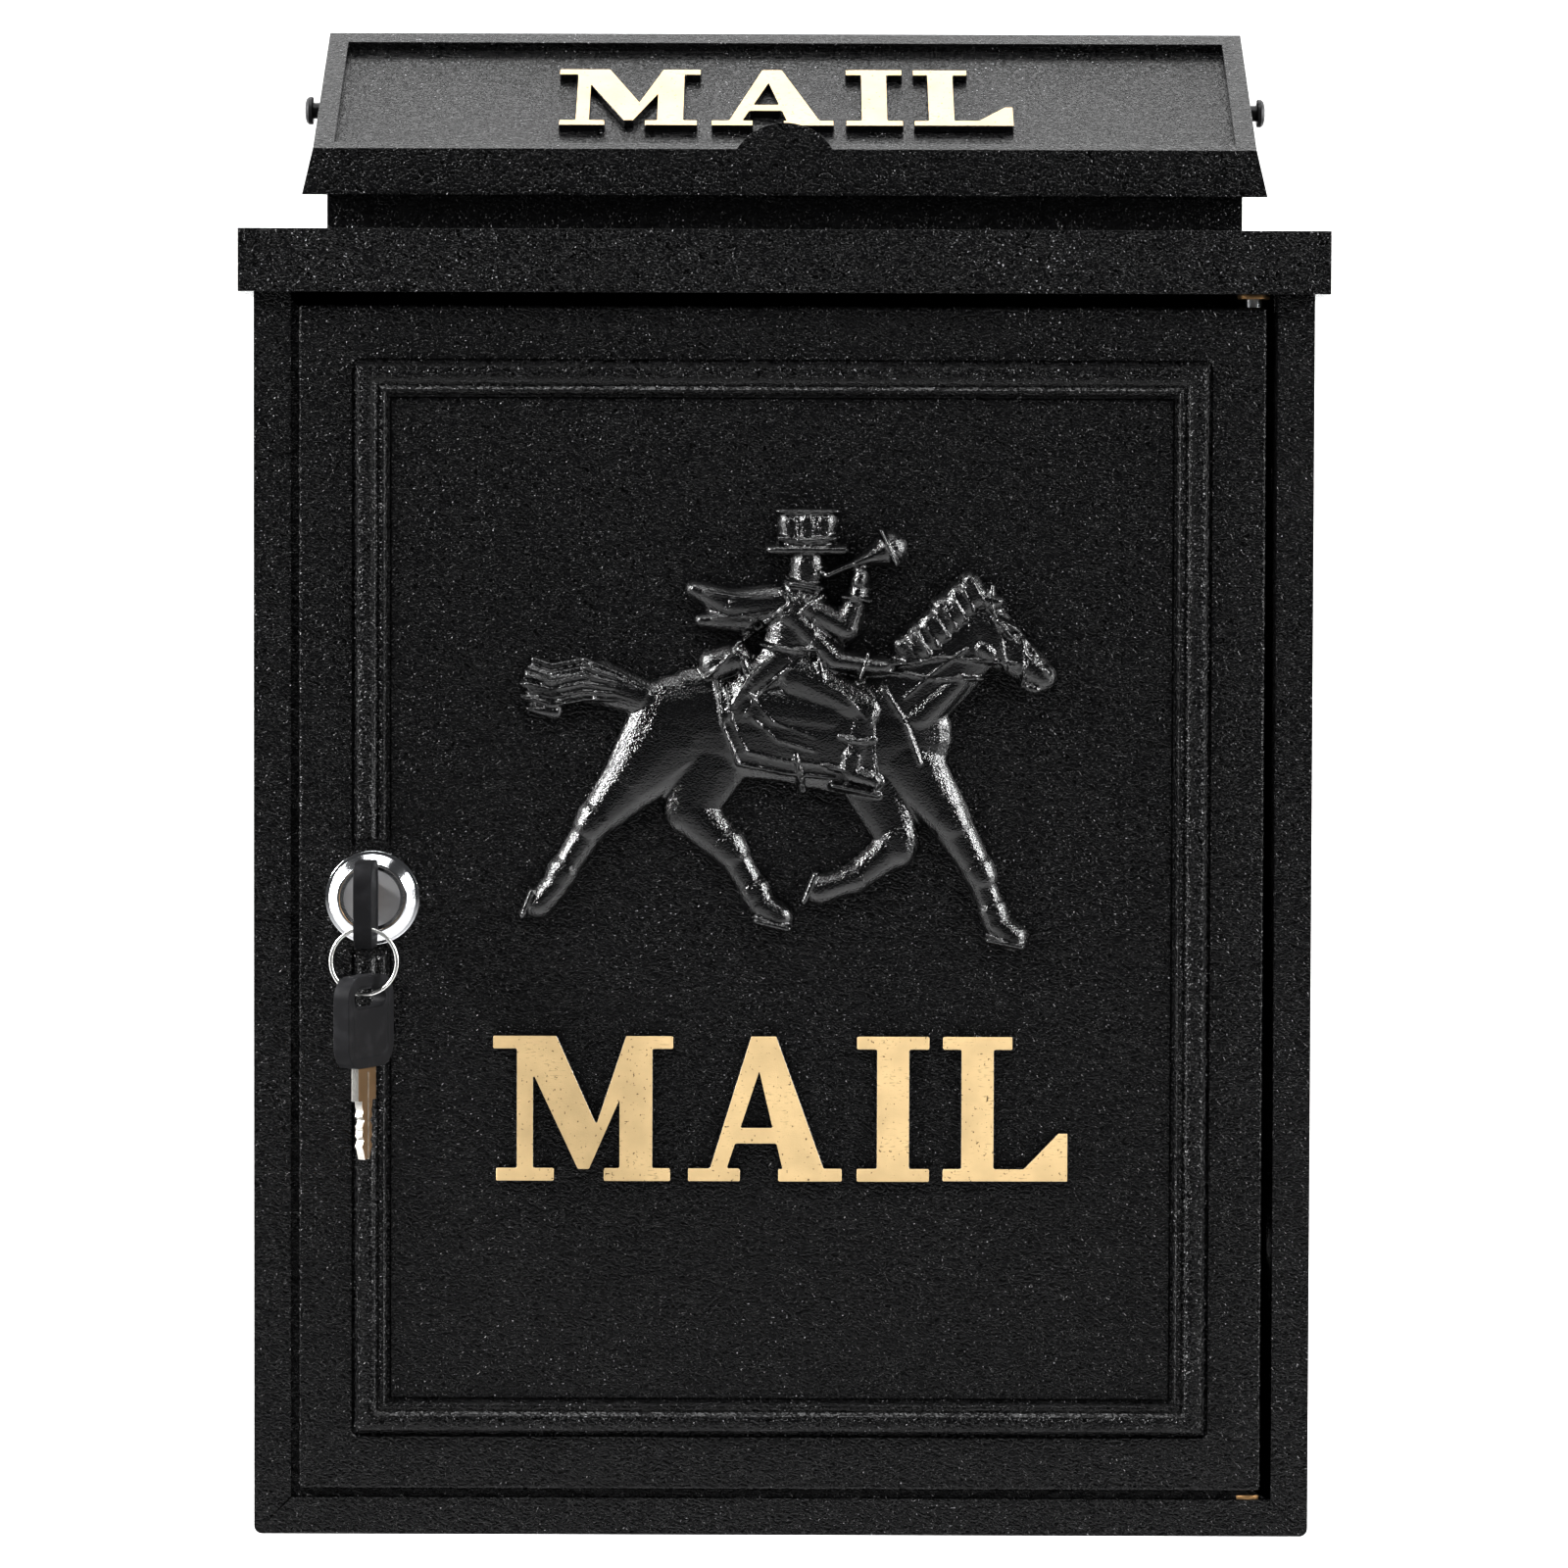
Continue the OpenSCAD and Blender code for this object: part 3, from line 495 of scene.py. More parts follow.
def cad_copy(node, name, whole_faces=True):
    """A copy of a CAD node's shape, merged and ready to finish by hand."""
    obj = bpy.data.objects.new(name, frame["nodes"][node].data.copy())
    bpy.context.scene.collection.objects.link(obj)
    obj.data.name = name
    obj.data.materials.clear()
    with editing(obj):
        bpy.ops.mesh.select_all(action="SELECT")
        bpy.ops.mesh.remove_doubles(threshold=0.002 * MM)
        if whole_faces:
            bpy.ops.mesh.dissolve_limited(angle_limit=math.radians(0.6))
    return obj


def turned(name, profile, centre, axis, steps=None):
    """A solid of revolution: a profile of (radius, height) points in millimetres, spun round."""
    centre, axis = Vector(centre), Vector(axis).normalized()
    side = axis.orthogonal().normalized()
    points = [centre + side * (radius * MM) + axis * (height * MM) for radius, height in profile]
    bpy.ops.object.select_all(action="DESELECT")
    bpy.ops.mesh.primitive_plane_add(size=MM, location=(0, 0, 0))
    obj = named(name)
    with editing(obj):
        bpy.ops.mesh.select_all(action="SELECT")
        bpy.ops.mesh.merge(type="CENTER")
        bpy.ops.transform.translate(value=points[0])
        for before, after in zip(points, points[1:] + points[:1]):
            bpy.ops.mesh.extrude_region_move(TRANSFORM_OT_translate={"value": after - before})
        bpy.ops.mesh.select_all(action="SELECT")
        bpy.ops.mesh.remove_doubles(threshold=0.001 * MM)
        bpy.ops.mesh.spin(steps=steps or sizes().turns, angle=math.tau, center=centre, axis=axis)
        bpy.ops.mesh.select_all(action="SELECT")
        bpy.ops.mesh.remove_doubles(threshold=0.001 * MM)
        bpy.ops.mesh.normals_make_consistent(inside=False)
    return obj


def moved(obj, matrix):
    """Moves a piece, with its new place put into its mesh."""
    obj.matrix_world = matrix
    only(obj)
    bpy.ops.object.transform_apply(location=True, rotation=True, scale=True)
    return obj


def duplicate(obj, name):
    """A copy of a piece, with its own mesh."""
    only(obj)
    bpy.ops.object.duplicate(linked=False)
    return named(name)


def stands_for(obj, node, finish=None):
    """Gives a finished piece its finish and puts it in the place of its CAD node."""
    slot = SLOT_OF[node]
    if not obj.data.materials:
        obj.data.materials.append(finish_of(finish or FINISH_OF_SLOT[slot]))
    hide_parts(node)
    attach(obj, BODY_OF[node])


def finished_copy(node, width, segments=3, angle=35, finish=None):
    """A CAD node with its edges rounded and its finish on."""
    obj = cad_copy(node, node + "_finished")
    rounded(obj, width, segments, angle)
    smoothed(obj)
    stands_for(obj, node, finish)
    return obj


# ---- the operators


class MAILBOX_OT_stage(bpy.types.Operator):
    """Set up the camera, the floor, the backdrop and the studio light"""

    bl_idname = "mailbox.stage"
    bl_label = "Stage"

    def execute(self, context):
        self.camera(context.scene)
        self.floor()
        self.light(context.scene)
        return {"FINISHED"}

    def camera(self, scene):
        """A long lens level with the upper part of the door, tipped down a little."""
        data = bpy.data.cameras.new("camera")
        data.sensor_width = 36
        data.lens = 122.56
        data.shift_y = -0.0522
        data.clip_start = 0.05
        data.clip_end = 60
        camera = bpy.data.objects.new("camera", data)
        scene.collection.objects.link(camera)
        tip, lean = math.radians(2.0), math.radians(0.176)
        place = Matrix.Translation((0.2 * MM, FRONT - 1.3, 89.6 * MM))
        camera.matrix_world = (place @ Matrix.Rotation(math.pi / 2 - tip, 4, "X")
                               @ Matrix.Rotation(lean, 4, "Z"))
        scene.camera = camera

    def floor(self):
        """A round studio floor, with a wall that curves up out of its back half."""
        radius, curve, height, drop = 5.0, 1.5, 4.0, 0.30
        level = CAD_BOX[0].z - drop
        floor = turned("studio_floor", [(0, 0), (radius / MM, 0), (radius / MM, -50), (0, -50)],
                       (0, 0, level), UP, 96)
        bend = [(radius - curve * (1 - math.sin(a)), curve * (1 - math.cos(a)))
                for a in (math.radians(15 * i) for i in range(7))]
        rim = [(radius, height), (radius + 0.1, height), (radius + 0.1, 0)]
        profile = [(r / MM, h / MM - 3) for r, h in bend + rim]
        wall = turned("studio_backdrop", profile, (0, 0, level), UP, 96)
        with editing(wall):
            bpy.ops.mesh.select_all(action="SELECT")
            bpy.ops.mesh.bisect(plane_co=(0, 0, 0), plane_no=OUT, clear_outer=True, use_fill=True)
        for piece in (floor, wall):
            smoothed(piece, 40)
            piece.data.materials.append(finish_of("paper"))

    def light(self, scene):
        """A dim room with softboxes: place, aim, width, height, brightness and spread of each."""
        scene.view_settings.view_transform = "Standard"
        scene.view_settings.gamma = 0.86
        world = bpy.data.worlds.new("studio")
        world.use_nodes = True
        background = world.node_tree.nodes["Background"]
        background.inputs["Color"].default_value = (0.95, 0.97, 1.0, 1)
        background.inputs["Strength"].default_value = 0.07
        scene.world = world
        self.softbox(scene, "overhead softbox", (0, 1.2, 2.1), (0, 1.2, 0), 3.4, 2.9, 3.4, 180)
        self.softbox(scene, "key softbox", (-1.25, -0.60, 0.75), (0, 0, 0), 0.5, 0.5, 5.4, 50)
        self.softbox(scene, "fill softbox", (1.25, -0.60, 0.55), (0, 0, 0), 0.5, 0.5, 3.0, 50)
        self.softbox(scene, "left softbox", (-1.2, -0.12, 0.1), (0, -0.1, 0), 0.5, 1.3, 2.0, 90)
        self.softbox(scene, "right softbox", (1.3, -0.12, 0.1), (0, -0.1, 0), 0.5, 1.3, 2.4, 90)
        self.softbox(scene, "top softbox", (0, -0.75, 1.5), (0, -0.08, 0), 1.2, 0.6, 0.9, 60)
        self.softbox(scene, "backdrop left", (-2.4, 1.4, 1.6), (-0.8, 4.2, 0.2), 1.0, 1.0, 38, 180)
        self.softbox(scene, "backdrop right", (2.4, 1.4, 1.6), (0.8, 4.2, 0.2), 1.0, 1.0, 38, 180)

    def softbox(self, scene, name, place, target, width, height, brightness, spread):
        """A soft light, as bright as white paper times its brightness when looked into."""
        lamp = bpy.data.lights.new(name, "AREA")
        lamp.shape = "RECTANGLE"
        lamp.size = width
        lamp.size_y = height
        lamp.energy = brightness * math.pi * width * height
        lamp.spread = math.radians(spread)
        obj = bpy.data.objects.new(name, lamp)
        scene.collection.objects.link(obj)
        obj.location = place
        obj.rotation_euler = (Vector(target) - Vector(place)).to_track_quat("-Z", "Y").to_euler()


class MAILBOX_OT_housing(bpy.types.Operator):
    """Finish the sheet steel body and the top casting"""

    bl_idname = "mailbox.housing"
    bl_label = "Housing"

    def execute(self, context):
        self.shell()
        finished_copy("rear_panel", sizes().sheet_edge, 2)
        finished_copy("header_rail", sizes().sheet_edge, 2)
        finished_copy("door_stops", sizes().sheet_edge, 2)
        finished_copy("top_casting", sizes().cast_edge)
        return {"FINISHED"}

    def shell(self):
        """The folded body, with a mitre joint in each lower corner of its flange."""
        shell = cad_copy("body_shell", "body_shell_finished")
        low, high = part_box("body_shell")
        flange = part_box("door")[0].z - low.z - 2 * MM
        for side in (-1, 1):
            corner = Vector((side * high.x, FRONT, low.z))
            inner = corner + Vector((-side * flange, 0, flange))
            outer = corner.lerp(inner, 0.30)
            along = (inner - outer).normalized()
            groove = block("mitre", (-0.5 * sizes().mitre_width, -0.3 * MM, 0),
                           (0.5 * sizes().mitre_width, 0.25 * MM, (inner - outer).length))
            moved(groove, Matrix.Translation(outer)
                  @ Vector((0, 0, 1)).rotation_difference(along).to_matrix().to_4x4())
            joined_by(shell, groove)
        rounded(shell, sizes().sheet_edge, 2, 50)
        smoothed(shell)
        stands_for(shell, "body_shell")


class MAILBOX_OT_lid(bpy.types.Operator):
    """Finish the cast mail lid and its pivot screws"""

    bl_idname = "mailbox.lid"
    bl_label = "Lid"

    def execute(self, context):
        finished_copy("lid", 1.6 * sizes().cast_edge, 4, 30)
        for side in ("left", "right"):
            self.screw("lid_pivot_screw_" + side, -1 if side == "left" else 1)
        return {"FINISHED"}

    def screw(self, node, side):
        """A pan head with a cross recess, on a plain stem."""
        low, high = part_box(node)
        centre = middle(node)
        outer = high.x if side > 0 else low.x
        inner = low.x if side > 0 else high.x
        stem, head = 2.0, 3.5
        length = abs(outer - inner) / MM
        screw = turned(node + "_finished", [
            (0, 0), (stem - 0.3, 0), (stem, 0.3), (stem, length - 2), (head - 0.2, length - 2),
            (head, length - 1.8), (head, length - 1.0), (head - 0.5, length - 0.4),
            (head - 1.4, length - 0.08), (0, length)
        ], (inner, centre.y, centre.z), (side, 0, 0))
        for spread in ((0.45, 2.2), (2.2, 0.45)):
            low_corner = (outer - 0.9 * MM, centre.y - spread[0] * MM, centre.z - spread[1] * MM)
            high_corner = (outer + 0.9 * MM, centre.y + spread[0] * MM, centre.z + spread[1] * MM)
            joined_by(screw, block("recess", low_corner, high_corner))
        smoothed(screw)
        stands_for(screw, node)


class MAILBOX_OT_door(bpy.types.Operator):
    """Model the cast door, with its moulding, lock seat and hinge blocks"""

    bl_idname = "mailbox.door"
    bl_label = "Door"

    # from the outer line of the moulding inwards: (step in, step out), in millimetres
    moulding = [(0.5, -0.45), (0.4, 0.35), (0.5, 1.3), (0.6, 0.9), (0.8, 0.35), (1.4, 0.1),
                (0.9, -0.35), (0.7, -0.75), (0.6, -0.45), (0.5, 0.25), (0.6, 0.35), (0.5, -0.1),
                (0.5, -0.5), (0.4, -1.35), (0.4, -0.10), (0.5, 0.45)]
    moulding_in = 12 * MM
    corner = 1.0 * MM
    wall = 2.5 * MM
    block_size = 8 * MM
    pin_depth = 10 * MM

    def execute(self, context):
        low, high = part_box("door")
        door = block("door_finished", (low.x, FRONT, low.z), high)
        self.tray(door, low, high)
        rounded(door, self.corner, 3, 60)
        with editing(door):
            pick_largest(door, OUT)
            bpy.ops.mesh.inset(thickness=self.moulding_in)
            for step_in, step_out in self.moulding:
                bpy.ops.mesh.inset(thickness=step_in * MM, depth=step_out * MM)
        self.lock_seat(door)
        self.hinge_blocks(door, low, high)
        smoothed(door, 32)
        stands_for(door, "door")
        return {"FINISHED"}

    def tray(self, door, low, high):
        """Hollows the back of the door, leaving its turned edges."""
        with editing(door):
            pick_largest(door, -OUT)
            bpy.ops.mesh.inset(thickness=self.wall)
            depth = high.y - FRONT - self.wall
            bpy.ops.mesh.extrude_region_move(TRANSFORM_OT_translate={"value": OUT * depth})

    def lock_seat(self, door):
        """Breaks the moulding with a flat round seat, and drills it for the lock."""
        seat = sizes().seat_radius / MM
        fill = turned("seat fill", [(0, -1.5), (seat + 0.4, -1.5), (seat + 0.4, 0), (0, 0)], LOCK, OUT)
        joined_by(door, fill, "UNION")
        bowl = turned("seat bowl", [
            (0, 0), (seat, 0), (seat + 0.7, 0.25), (seat + 1.3, 0.9), (seat + 1.7, 1.8),
            (seat + 2.6, 2.6), (seat + 4.0, 5), (0, 5)
        ], LOCK, OUT)
        joined_by(door, bowl)
        reach, barrel = OUT * 5 * MM, 9.3 * MM
        joined_by(door, rod("lock hole", LOCK - reach, LOCK + reach, barrel, 64))

    def hinge_blocks(self, door, low, high):
        """The two solid corners that hold the hinge pins."""
        pin = middle("lower_hinge_pin")
        for end, inward in ((low.z, 1), (high.z, -1)):
            far = end + inward * self.pin_depth
            corner = block("hinge block",
                           (high.x - self.block_size, FRONT + 1.2 * MM, min(end, far) + 0.2 * MM),
                           (high.x - 0.05 * MM, high.y - 0.05 * MM, max(end, far) - 0.2 * MM))
            joined_by(door, corner, "UNION")
            start = Vector((pin.x, pin.y, end - inward * MM))
            hole = rod("pin hole", start, start + UP * inward * (self.pin_depth + MM), 2.02 * MM)
            joined_by(door, hole)


class MAILBOX_OT_capitals(bpy.types.Operator):
    """Finish the raised capitals, with gold paint on their faces only"""

    bl_idname = "mailbox.capitals"
    bl_label = "Capitals"

    def execute(self, context):
        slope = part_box("lid_letters")
        rise, run = slope[1].z - slope[0].z, slope[1].y - slope[0].y
        tilt = math.atan2(rise, run)
        self.word("door_letters", OUT)
        self.word("lid_letters", self.face_of("lid_letters", tilt))
        return {"FINISHED"}

    def face_of(self, node, guess):
        """The direction that the capitals' largest faces look in."""
        expected = Vector((0, -math.sin(guess), math.cos(guess)))
        mesh = frame["nodes"][node].data
        return max((face for face in mesh.polygons if face.normal.dot(expected) > 0.9),
                   key=lambda face: face.area).normal.copy()

    def word(self, node, outward):
        word = cad_copy(node, node + "_finished", whole_faces=False)
        rounded(word, sizes().letter_edge, 3, 28)
        word.data.materials.append(finish_of("smooth enamel"))
        word.data.materials.append(finish_of("gold"))
        with editing(word):
            pick(word, "FACE", lambda face: face.normal.dot(outward) > 0.8)
            word.active_material_index = 1
            bpy.ops.object.material_slot_assign()
        smoothed(word)
        stands_for(word, node)


class MAILBOX_OT_rider(bpy.types.Operator):
    """Model the relief of a galloping horse and a rider with a horn"""

    bl_idname = "mailbox.rider"
    bl_label = "Rider"

    # limbs as pairs of round ends in millimetres: x, up and radius of each, then the height
    limbs = [
        # barrel, chest, croup and neck
        (-20, 56, 13.5, 2, 55, 14.0, 4.6), (2, 55, 14.0, 18, 53, 15.5, 5.0),
        (-25, 55, 12.8, -28, 51, 11.5, 5.0), (22, 52, 14.0, 30, 53, 12.0, 5.0),
        (28, 60, 11.0, 40, 70, 9.5, 4.8), (40, 70, 9.5, 47, 77, 8.0, 4.6),
        (31, 47, 8.5, 34, 44, 7.0, 4.9), (33, 57, 5.0, 43, 66, 3.4, 5.5),
        # head: cheek, jaw, muzzle, nostril, chin, ears, brow and eye
        (49, 78.5, 7.6, 54, 74, 6.0, 4.8), (54, 74.5, 5.6, 61, 69, 4.6, 4.4),
        (60.5, 69.5, 4.4, 63.5, 67, 3.8, 4.8), (64, 69, 1.3, 64.8, 68, 1.1, 5.6),
        (60.2, 64.6, 1.9, 62, 64, 1.6, 4.4), (46.6, 84.6, 2.4, 46.4, 90, 1.0, 4.4),
        (50.6, 84.0, 2.1, 51.2, 89.2, 0.9, 4.9), (52, 81.2, 1.6, 56.4, 79, 1.0, 5.2),
        (53.4, 78.9, 1.2, 54.4, 78.6, 1.0, 5.8), (49, 74, 3.6, 50.6, 72.6, 3.0, 5.6),
        # outstretched foreleg
        (30, 47, 9.0, 41, 32.4, 5.6, 4.8), (41, 32, 5.4, 48, 20, 4.0, 4.4),
        (40.6, 33, 5.6, 42.2, 30.4, 5.0, 5.0), (48, 20, 4.6, 49, 18, 4.2, 4.7),
        (48.6, 18, 3.8, 51.6, 10, 3.2, 4.0), (51.6, 10, 4.0, 52.2, 8.6, 3.8, 4.5),
        (52.4, 7, 3.6, 56.6, 3.4, 4.0, 4.6), (50.4, 3.0, 1.2, 58.6, 1.4, 1.3, 4.8),
        # folded foreleg
        (22, 43, 8.6, 28.6, 27, 5.4, 3.8), (28.4, 27.4, 5.6, 28.4, 25, 5.0, 4.4),
        (27.6, 25.4, 4.8, 18, 18, 3.8, 3.9), (18, 18, 4.2, 16.6, 17.4, 4.0, 4.4),
        (15.6, 17, 3.6, 9.4, 15.0, 3.9, 4.3), (8.4, 19, 1.2, 5.6, 12.2, 1.3, 4.6),
        # outstretched hind leg
        (-27, 52, 12.0, -36, 42, 7.8, 5.2), (-36, 42, 7.6, -45, 32, 4.8, 4.7),
        (-45, 32.4, 5.2, -46.6, 30, 4.6, 5.0), (-46.4, 30, 4.2, -53, 19.6, 3.5, 4.1),
        (-53, 19.6, 4.2, -54, 17.8, 4.0, 4.6), (-54.8, 16, 3.7, -59, 11.4, 3.9, 4.5),
        (-60.6, 14.6, 1.2, -63, 8.6, 1.3, 4.6),
        # hind leg under the belly
        (-18, 46, 10.0, -22.4, 34.6, 6.6, 3.9), (-22.4, 34.6, 6.2, -13.4, 25.6, 4.7, 3.8),
        (-13.4, 26, 5.0, -11.6, 23.6, 4.5, 4.3), (-12, 24, 4.0, -6.4, 14.6, 3.4, 3.7),
        (-6.4, 14.8, 4.2, -5.6, 13.2, 4.0, 4.2), (-5, 11.6, 3.6, -0.6, 8.4, 3.9, 4.2),
        (-6, 7.4, 1.2, 1.8, 5.6, 1.3, 4.5),
        # tail
        (-32, 61, 4.6, -44, 65.4, 5.6, 3.6), (-44, 65.4, 5.6, -58, 64, 3.2, 3.2),
        # saddle cloth and saddle
        (-11, 60, 8.0, 12, 57, 8.0, 5.3), (-8, 69.0, 2.8, 8, 66, 3.4, 5.6),
        (-9.4, 71, 2.0, -7.4, 66, 2.2, 6.0), (9, 70.4, 1.8, 10, 65, 2.4, 6.0),
        # rider's body, collar and coat tails
        (1.4, 71, 7.2, 2.6, 77, 7.0, 5.4), (2.6, 77, 7.0, 4.6, 84.6, 7.4, 5.6),
        (2.4, 89.6, 1.5, 9.4, 88.4, 1.4, 5.9), (0, 71, 6.2, -9, 64, 4.4, 5.8),
        (-9, 64, 4.4, -13.6, 57, 2.4, 5.8),
        # rider's head, hat, band and brim
        (6.0, 91.4, 4.4, 6.2, 94.4, 4.6, 4.9), (10.0, 92.2, 1.4, 10.6, 92.0, 1.0, 4.9),
        (-2.8, 97.8, 1.7, 15.2, 97.8, 1.7, 5.2), (2.8, 99.4, 3.2, 2.2, 104.6, 3.6, 4.7),
        (9.6, 99.4, 3.2, 10.2, 104.6, 3.6, 4.7), (6.2, 99.4, 3.4, 6.2, 104.6, 3.8, 4.8),
        (-1.0, 107.2, 0.9, 13.4, 107.2, 0.9, 4.8),
        # leg, boot, spur and stirrup
        (4, 67, 7.0, 20.6, 58.6, 5.8, 6.0), (20.6, 58.4, 5.6, 17.4, 47, 4.2, 5.8),
        (17.2, 47.6, 4.4, 16.8, 44.6, 3.8, 6.0), (17, 43.6, 3.4, 22.8, 41.6, 2.7, 5.9),
        (11.6, 45.0, 1.0, 14.4, 44.4, 1.0, 5.2), (12.4, 40.6, 1.1, 23.6, 38.2, 1.1, 5.4),
        # arms and hands
        (5, 84.4, 4.6, 15.6, 78.8, 4.2, 6.1), (15.6, 78.8, 4.0, 18.6, 87.6, 3.1, 5.9),
        (18.8, 90, 2.8, 19.2, 92, 2.6, 6.0), (2, 82, 4.4, 13, 71, 3.6, 6.3),
        (13, 71, 3.4, 23.4, 69.6, 2.7, 6.2), (24.4, 69.6, 2.7, 25.4, 69.6, 2.5, 6.4),
        # bag behind the saddle
        (-16, 70, 4.6, -11, 71.6, 4.4, 5.6),
        # cape lifted by the wind
        (0.4, 84.8, 5.4, -12, 84.2, 4.2, 5.0), (-12, 84.2, 4.2, -21.4, 88.2, 2.4, 4.4),
        (-9, 81, 3.8, -19.6, 80.6, 2.0, 4.2),
    ]

    # straps, folds and locks of hair that lie on the limbs: a radius, then the points they pass
    straps = [
        # saddle cloth's double border, girth and breast strap
        (1.0, (-16, 67), (-14.2, 55), (-10.6, 45.8), (1, 43.6), (13, 42.4)),
        (0.7, (-13.4, 65), (-11.8, 56), (-8.6, 48.8), (1, 46.6), (12, 45.4)),
        (1.3, (3.4, 48), (4.4, 44), (5.2, 39.4)), (1.2, (25, 64), (30, 56), (33.6, 46)),
        # creases of the saddle cloth and of the coat tails
        (0.7, (-8, 63), (-2, 56), (8, 52.4)), (0.6, (-7, 57), (-1, 51.6), (8, 49)),
        (0.8, (-2, 72), (-8, 67), (-12, 60)), (0.7, (1.6, 69), (-5.2, 63.6), (-8.8, 58)),
        # belt, coat front, lapels and cape
        (1.0, (-5, 74.8), (2, 73.4), (9, 73.8)), (0.7, (7.6, 84), (8.0, 78), (6.6, 72)),
        (0.8, (0, 88), (4.4, 82.4), (8.6, 87)), (0.8, (-2, 86.6), (-10, 86.2), (-19, 87.6)),
        (0.7, (-2, 83), (-10, 81.8), (-17, 81)),
        # strap of the bag
        (0.9, (-12, 74), (-4, 80), (5, 87)), (0.9, (-18, 67), (-13.6, 71), (-10.4, 75.6)),
        # sleeves' and boots' cuffs, stirrup strap
        (1.0, (14.8, 86.4), (18, 86.0), (21.4, 85.4)), (1.0, (19, 66.6), (20.4, 69.8), (21, 72.8)),
        (1.1, (14, 52.6), (18.6, 51.4), (22.8, 51.8)), (0.8, (22, 58), (22.6, 48), (23, 40)),
        (0.6, (9.4, 65.8), (15.6, 62.4), (20.6, 57)),
        # hat band
        (1.1, (-0.6, 100.6), (6, 100.0), (12.8, 100.6)),
        # reins and bridle
        (0.9, (26, 70), (40, 71.6), (57.4, 70.4)), (0.7, (26, 68.4), (38, 66.4), (49, 66.6)),
        (1.0, (50.8, 85), (53, 78), (54.4, 69)), (1.0, (58.4, 76), (59.4, 71), (58.6, 65)),
        (0.9, (56, 80), (61.8, 72.6)), (0.8, (52.6, 80.6), (60.4, 71.4)),
        # muscle of the neck
        (1.0, (30, 62), (38, 69), (45, 74)),
    ]
    horn = (10.8, 91.6, 26.4, 98.2)

    def execute(self, context):
        low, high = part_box("rider_relief")
        self.origin = Vector((low.x + 64.2 * MM, FRONT, low.z + 0.1 * MM))
        self.limbs = self.limbs + self.hair() + self.horn_rings()
        pieces = [self.limb(*limb) for limb in self.limbs]
        pieces += [self.limb(*limb) for strap in self.straps + self.locks()
                   for limb in self.laid(*strap)]
        bpy.ops.object.select_all(action="DESELECT")
        for piece in pieces:
            piece.select_set(True)
        bpy.context.view_layer.objects.active = pieces[0]
        bpy.ops.object.join()
        relief = named("rider_relief_finished")
        relief.data.remesh_voxel_size = sizes().relief_grain
        bpy.ops.object.voxel_remesh()
        tool = relief.modifiers.new("Flow", "SMOOTH")
        tool.factor = 0.5
        tool.iterations = 6
        bpy.ops.object.modifier_apply(modifier=tool.name)
        with editing(relief):
            bpy.ops.mesh.select_all(action="SELECT")
            bpy.ops.mesh.bisect(plane_co=(0, FRONT + 0.02 * MM, 0), plane_no=OUT,
                                clear_inner=True, use_fill=True)
        only(relief)
        bpy.ops.object.shade_smooth_by_angle(angle=math.radians(60))
        stands_for(relief, "rider_relief")
        return {"FINISHED"}

    def hair(self):
        """The bushy mane, and the tail streaming out behind."""
        mane = [(31.5 + 2.2 * i, 71.6 + 2.1 * i, 3.6 + 0.5 * (i % 2), 29.4 + 2.2 * i + 0.7 * (i % 3),
                 74.6 + 2.1 * i + 0.6 * ((i * 5) % 3), 2.8 + 0.4 * ((i + 1) % 2), 5.2 + 0.4 * (i % 2))
                for i in range(8)]
        forelock = [(48.6, 86, 2.8, 52.6, 85.4, 2.0, 5.4), (44.6, 87, 3.2, 48, 87.6, 2.6, 5.2)]
        tips = [(-55, 64.8 - 2.2 * i, 2.2, -63.6 + 1.2 * abs(i - 1.4), 68.0 - 3.0 * i, 0.9, 3.4)
                for i in range(4)]
        return mane + forelock + tips

    def locks(self):
        """Locks that part the tail and the mane, as straps."""
        tail = []
        for lock in range(6):
            side = lock - 2.5
            tail.append((0.85, (-32 - 0.5 * lock, 61.6 - 0.7 * side), (-40, 64.6 - 1.3 * side),
                         (-48, 66.2 - 1.9 * side), (-56, 64.6 - 1.9 * side),
                         (-62.4 + 0.8 * abs(side), 66.2 - 1.9 * side)))
        mane = [(0.9, (33.6 + 2.2 * i, 70.6 + 2.1 * i), (30.2 + 2.3 * i, 75.4 + 2.1 * i))
                for i in range(8)]
        return tail + mane

    def laid(self, radius, *points):
        """A strap as short limbs that follow what lies under it."""
        pieces = []
        for (x0, up0), (x1, up1) in zip(points, points[1:]):
            steps = max(1, round(math.hypot(x1 - x0, up1 - up0) / 2.4))
            for i in range(steps):
                near, far = i / steps, (i + 1) / steps
                start = (x0 + (x1 - x0) * near, up0 + (up1 - up0) * near)
                end = (x0 + (x1 - x0) * far, up0 + (up1 - up0) * far)
                rise = max(self.height_at(*start), self.height_at(*end)) + 0.25 + 0.3 * radius
                pieces.append((*start, radius, *end, radius, rise))
        return pieces

    @staticmethod
    def end_height(rise, radius, r0, r1):
        """How high a limb stands where it has a radius: its rise at the thicker end, less at the other."""
        return rise * (0.86 + 0.14 * radius / max(r0, r1))

    def height_at(self, x, up):
        """How high the limbs stand at a point."""
        height = 0.8
        for x0, up0, r0, x1, up1, r1, rise in self.limbs:
            run, climb = x1 - x0, up1 - up0
            part = ((x - x0) * run + (up - up0) * climb) / (run * run + climb * climb)
            part = min(1, max(0, part))
            radius = r0 + (r1 - r0) * part
            gap = math.hypot(x - x0 - run * part, up - up0 - climb * part) / radius
            if gap < 1:
                height = max(height, self.end_height(rise, radius, r0, r1) * math.sqrt(1 - gap * gap))
        return height

    def horn_rings(self):
        """The horn, opening to its bell in a few steps."""
        x0, up0, x1, up1 = self.horn
        steps = 6

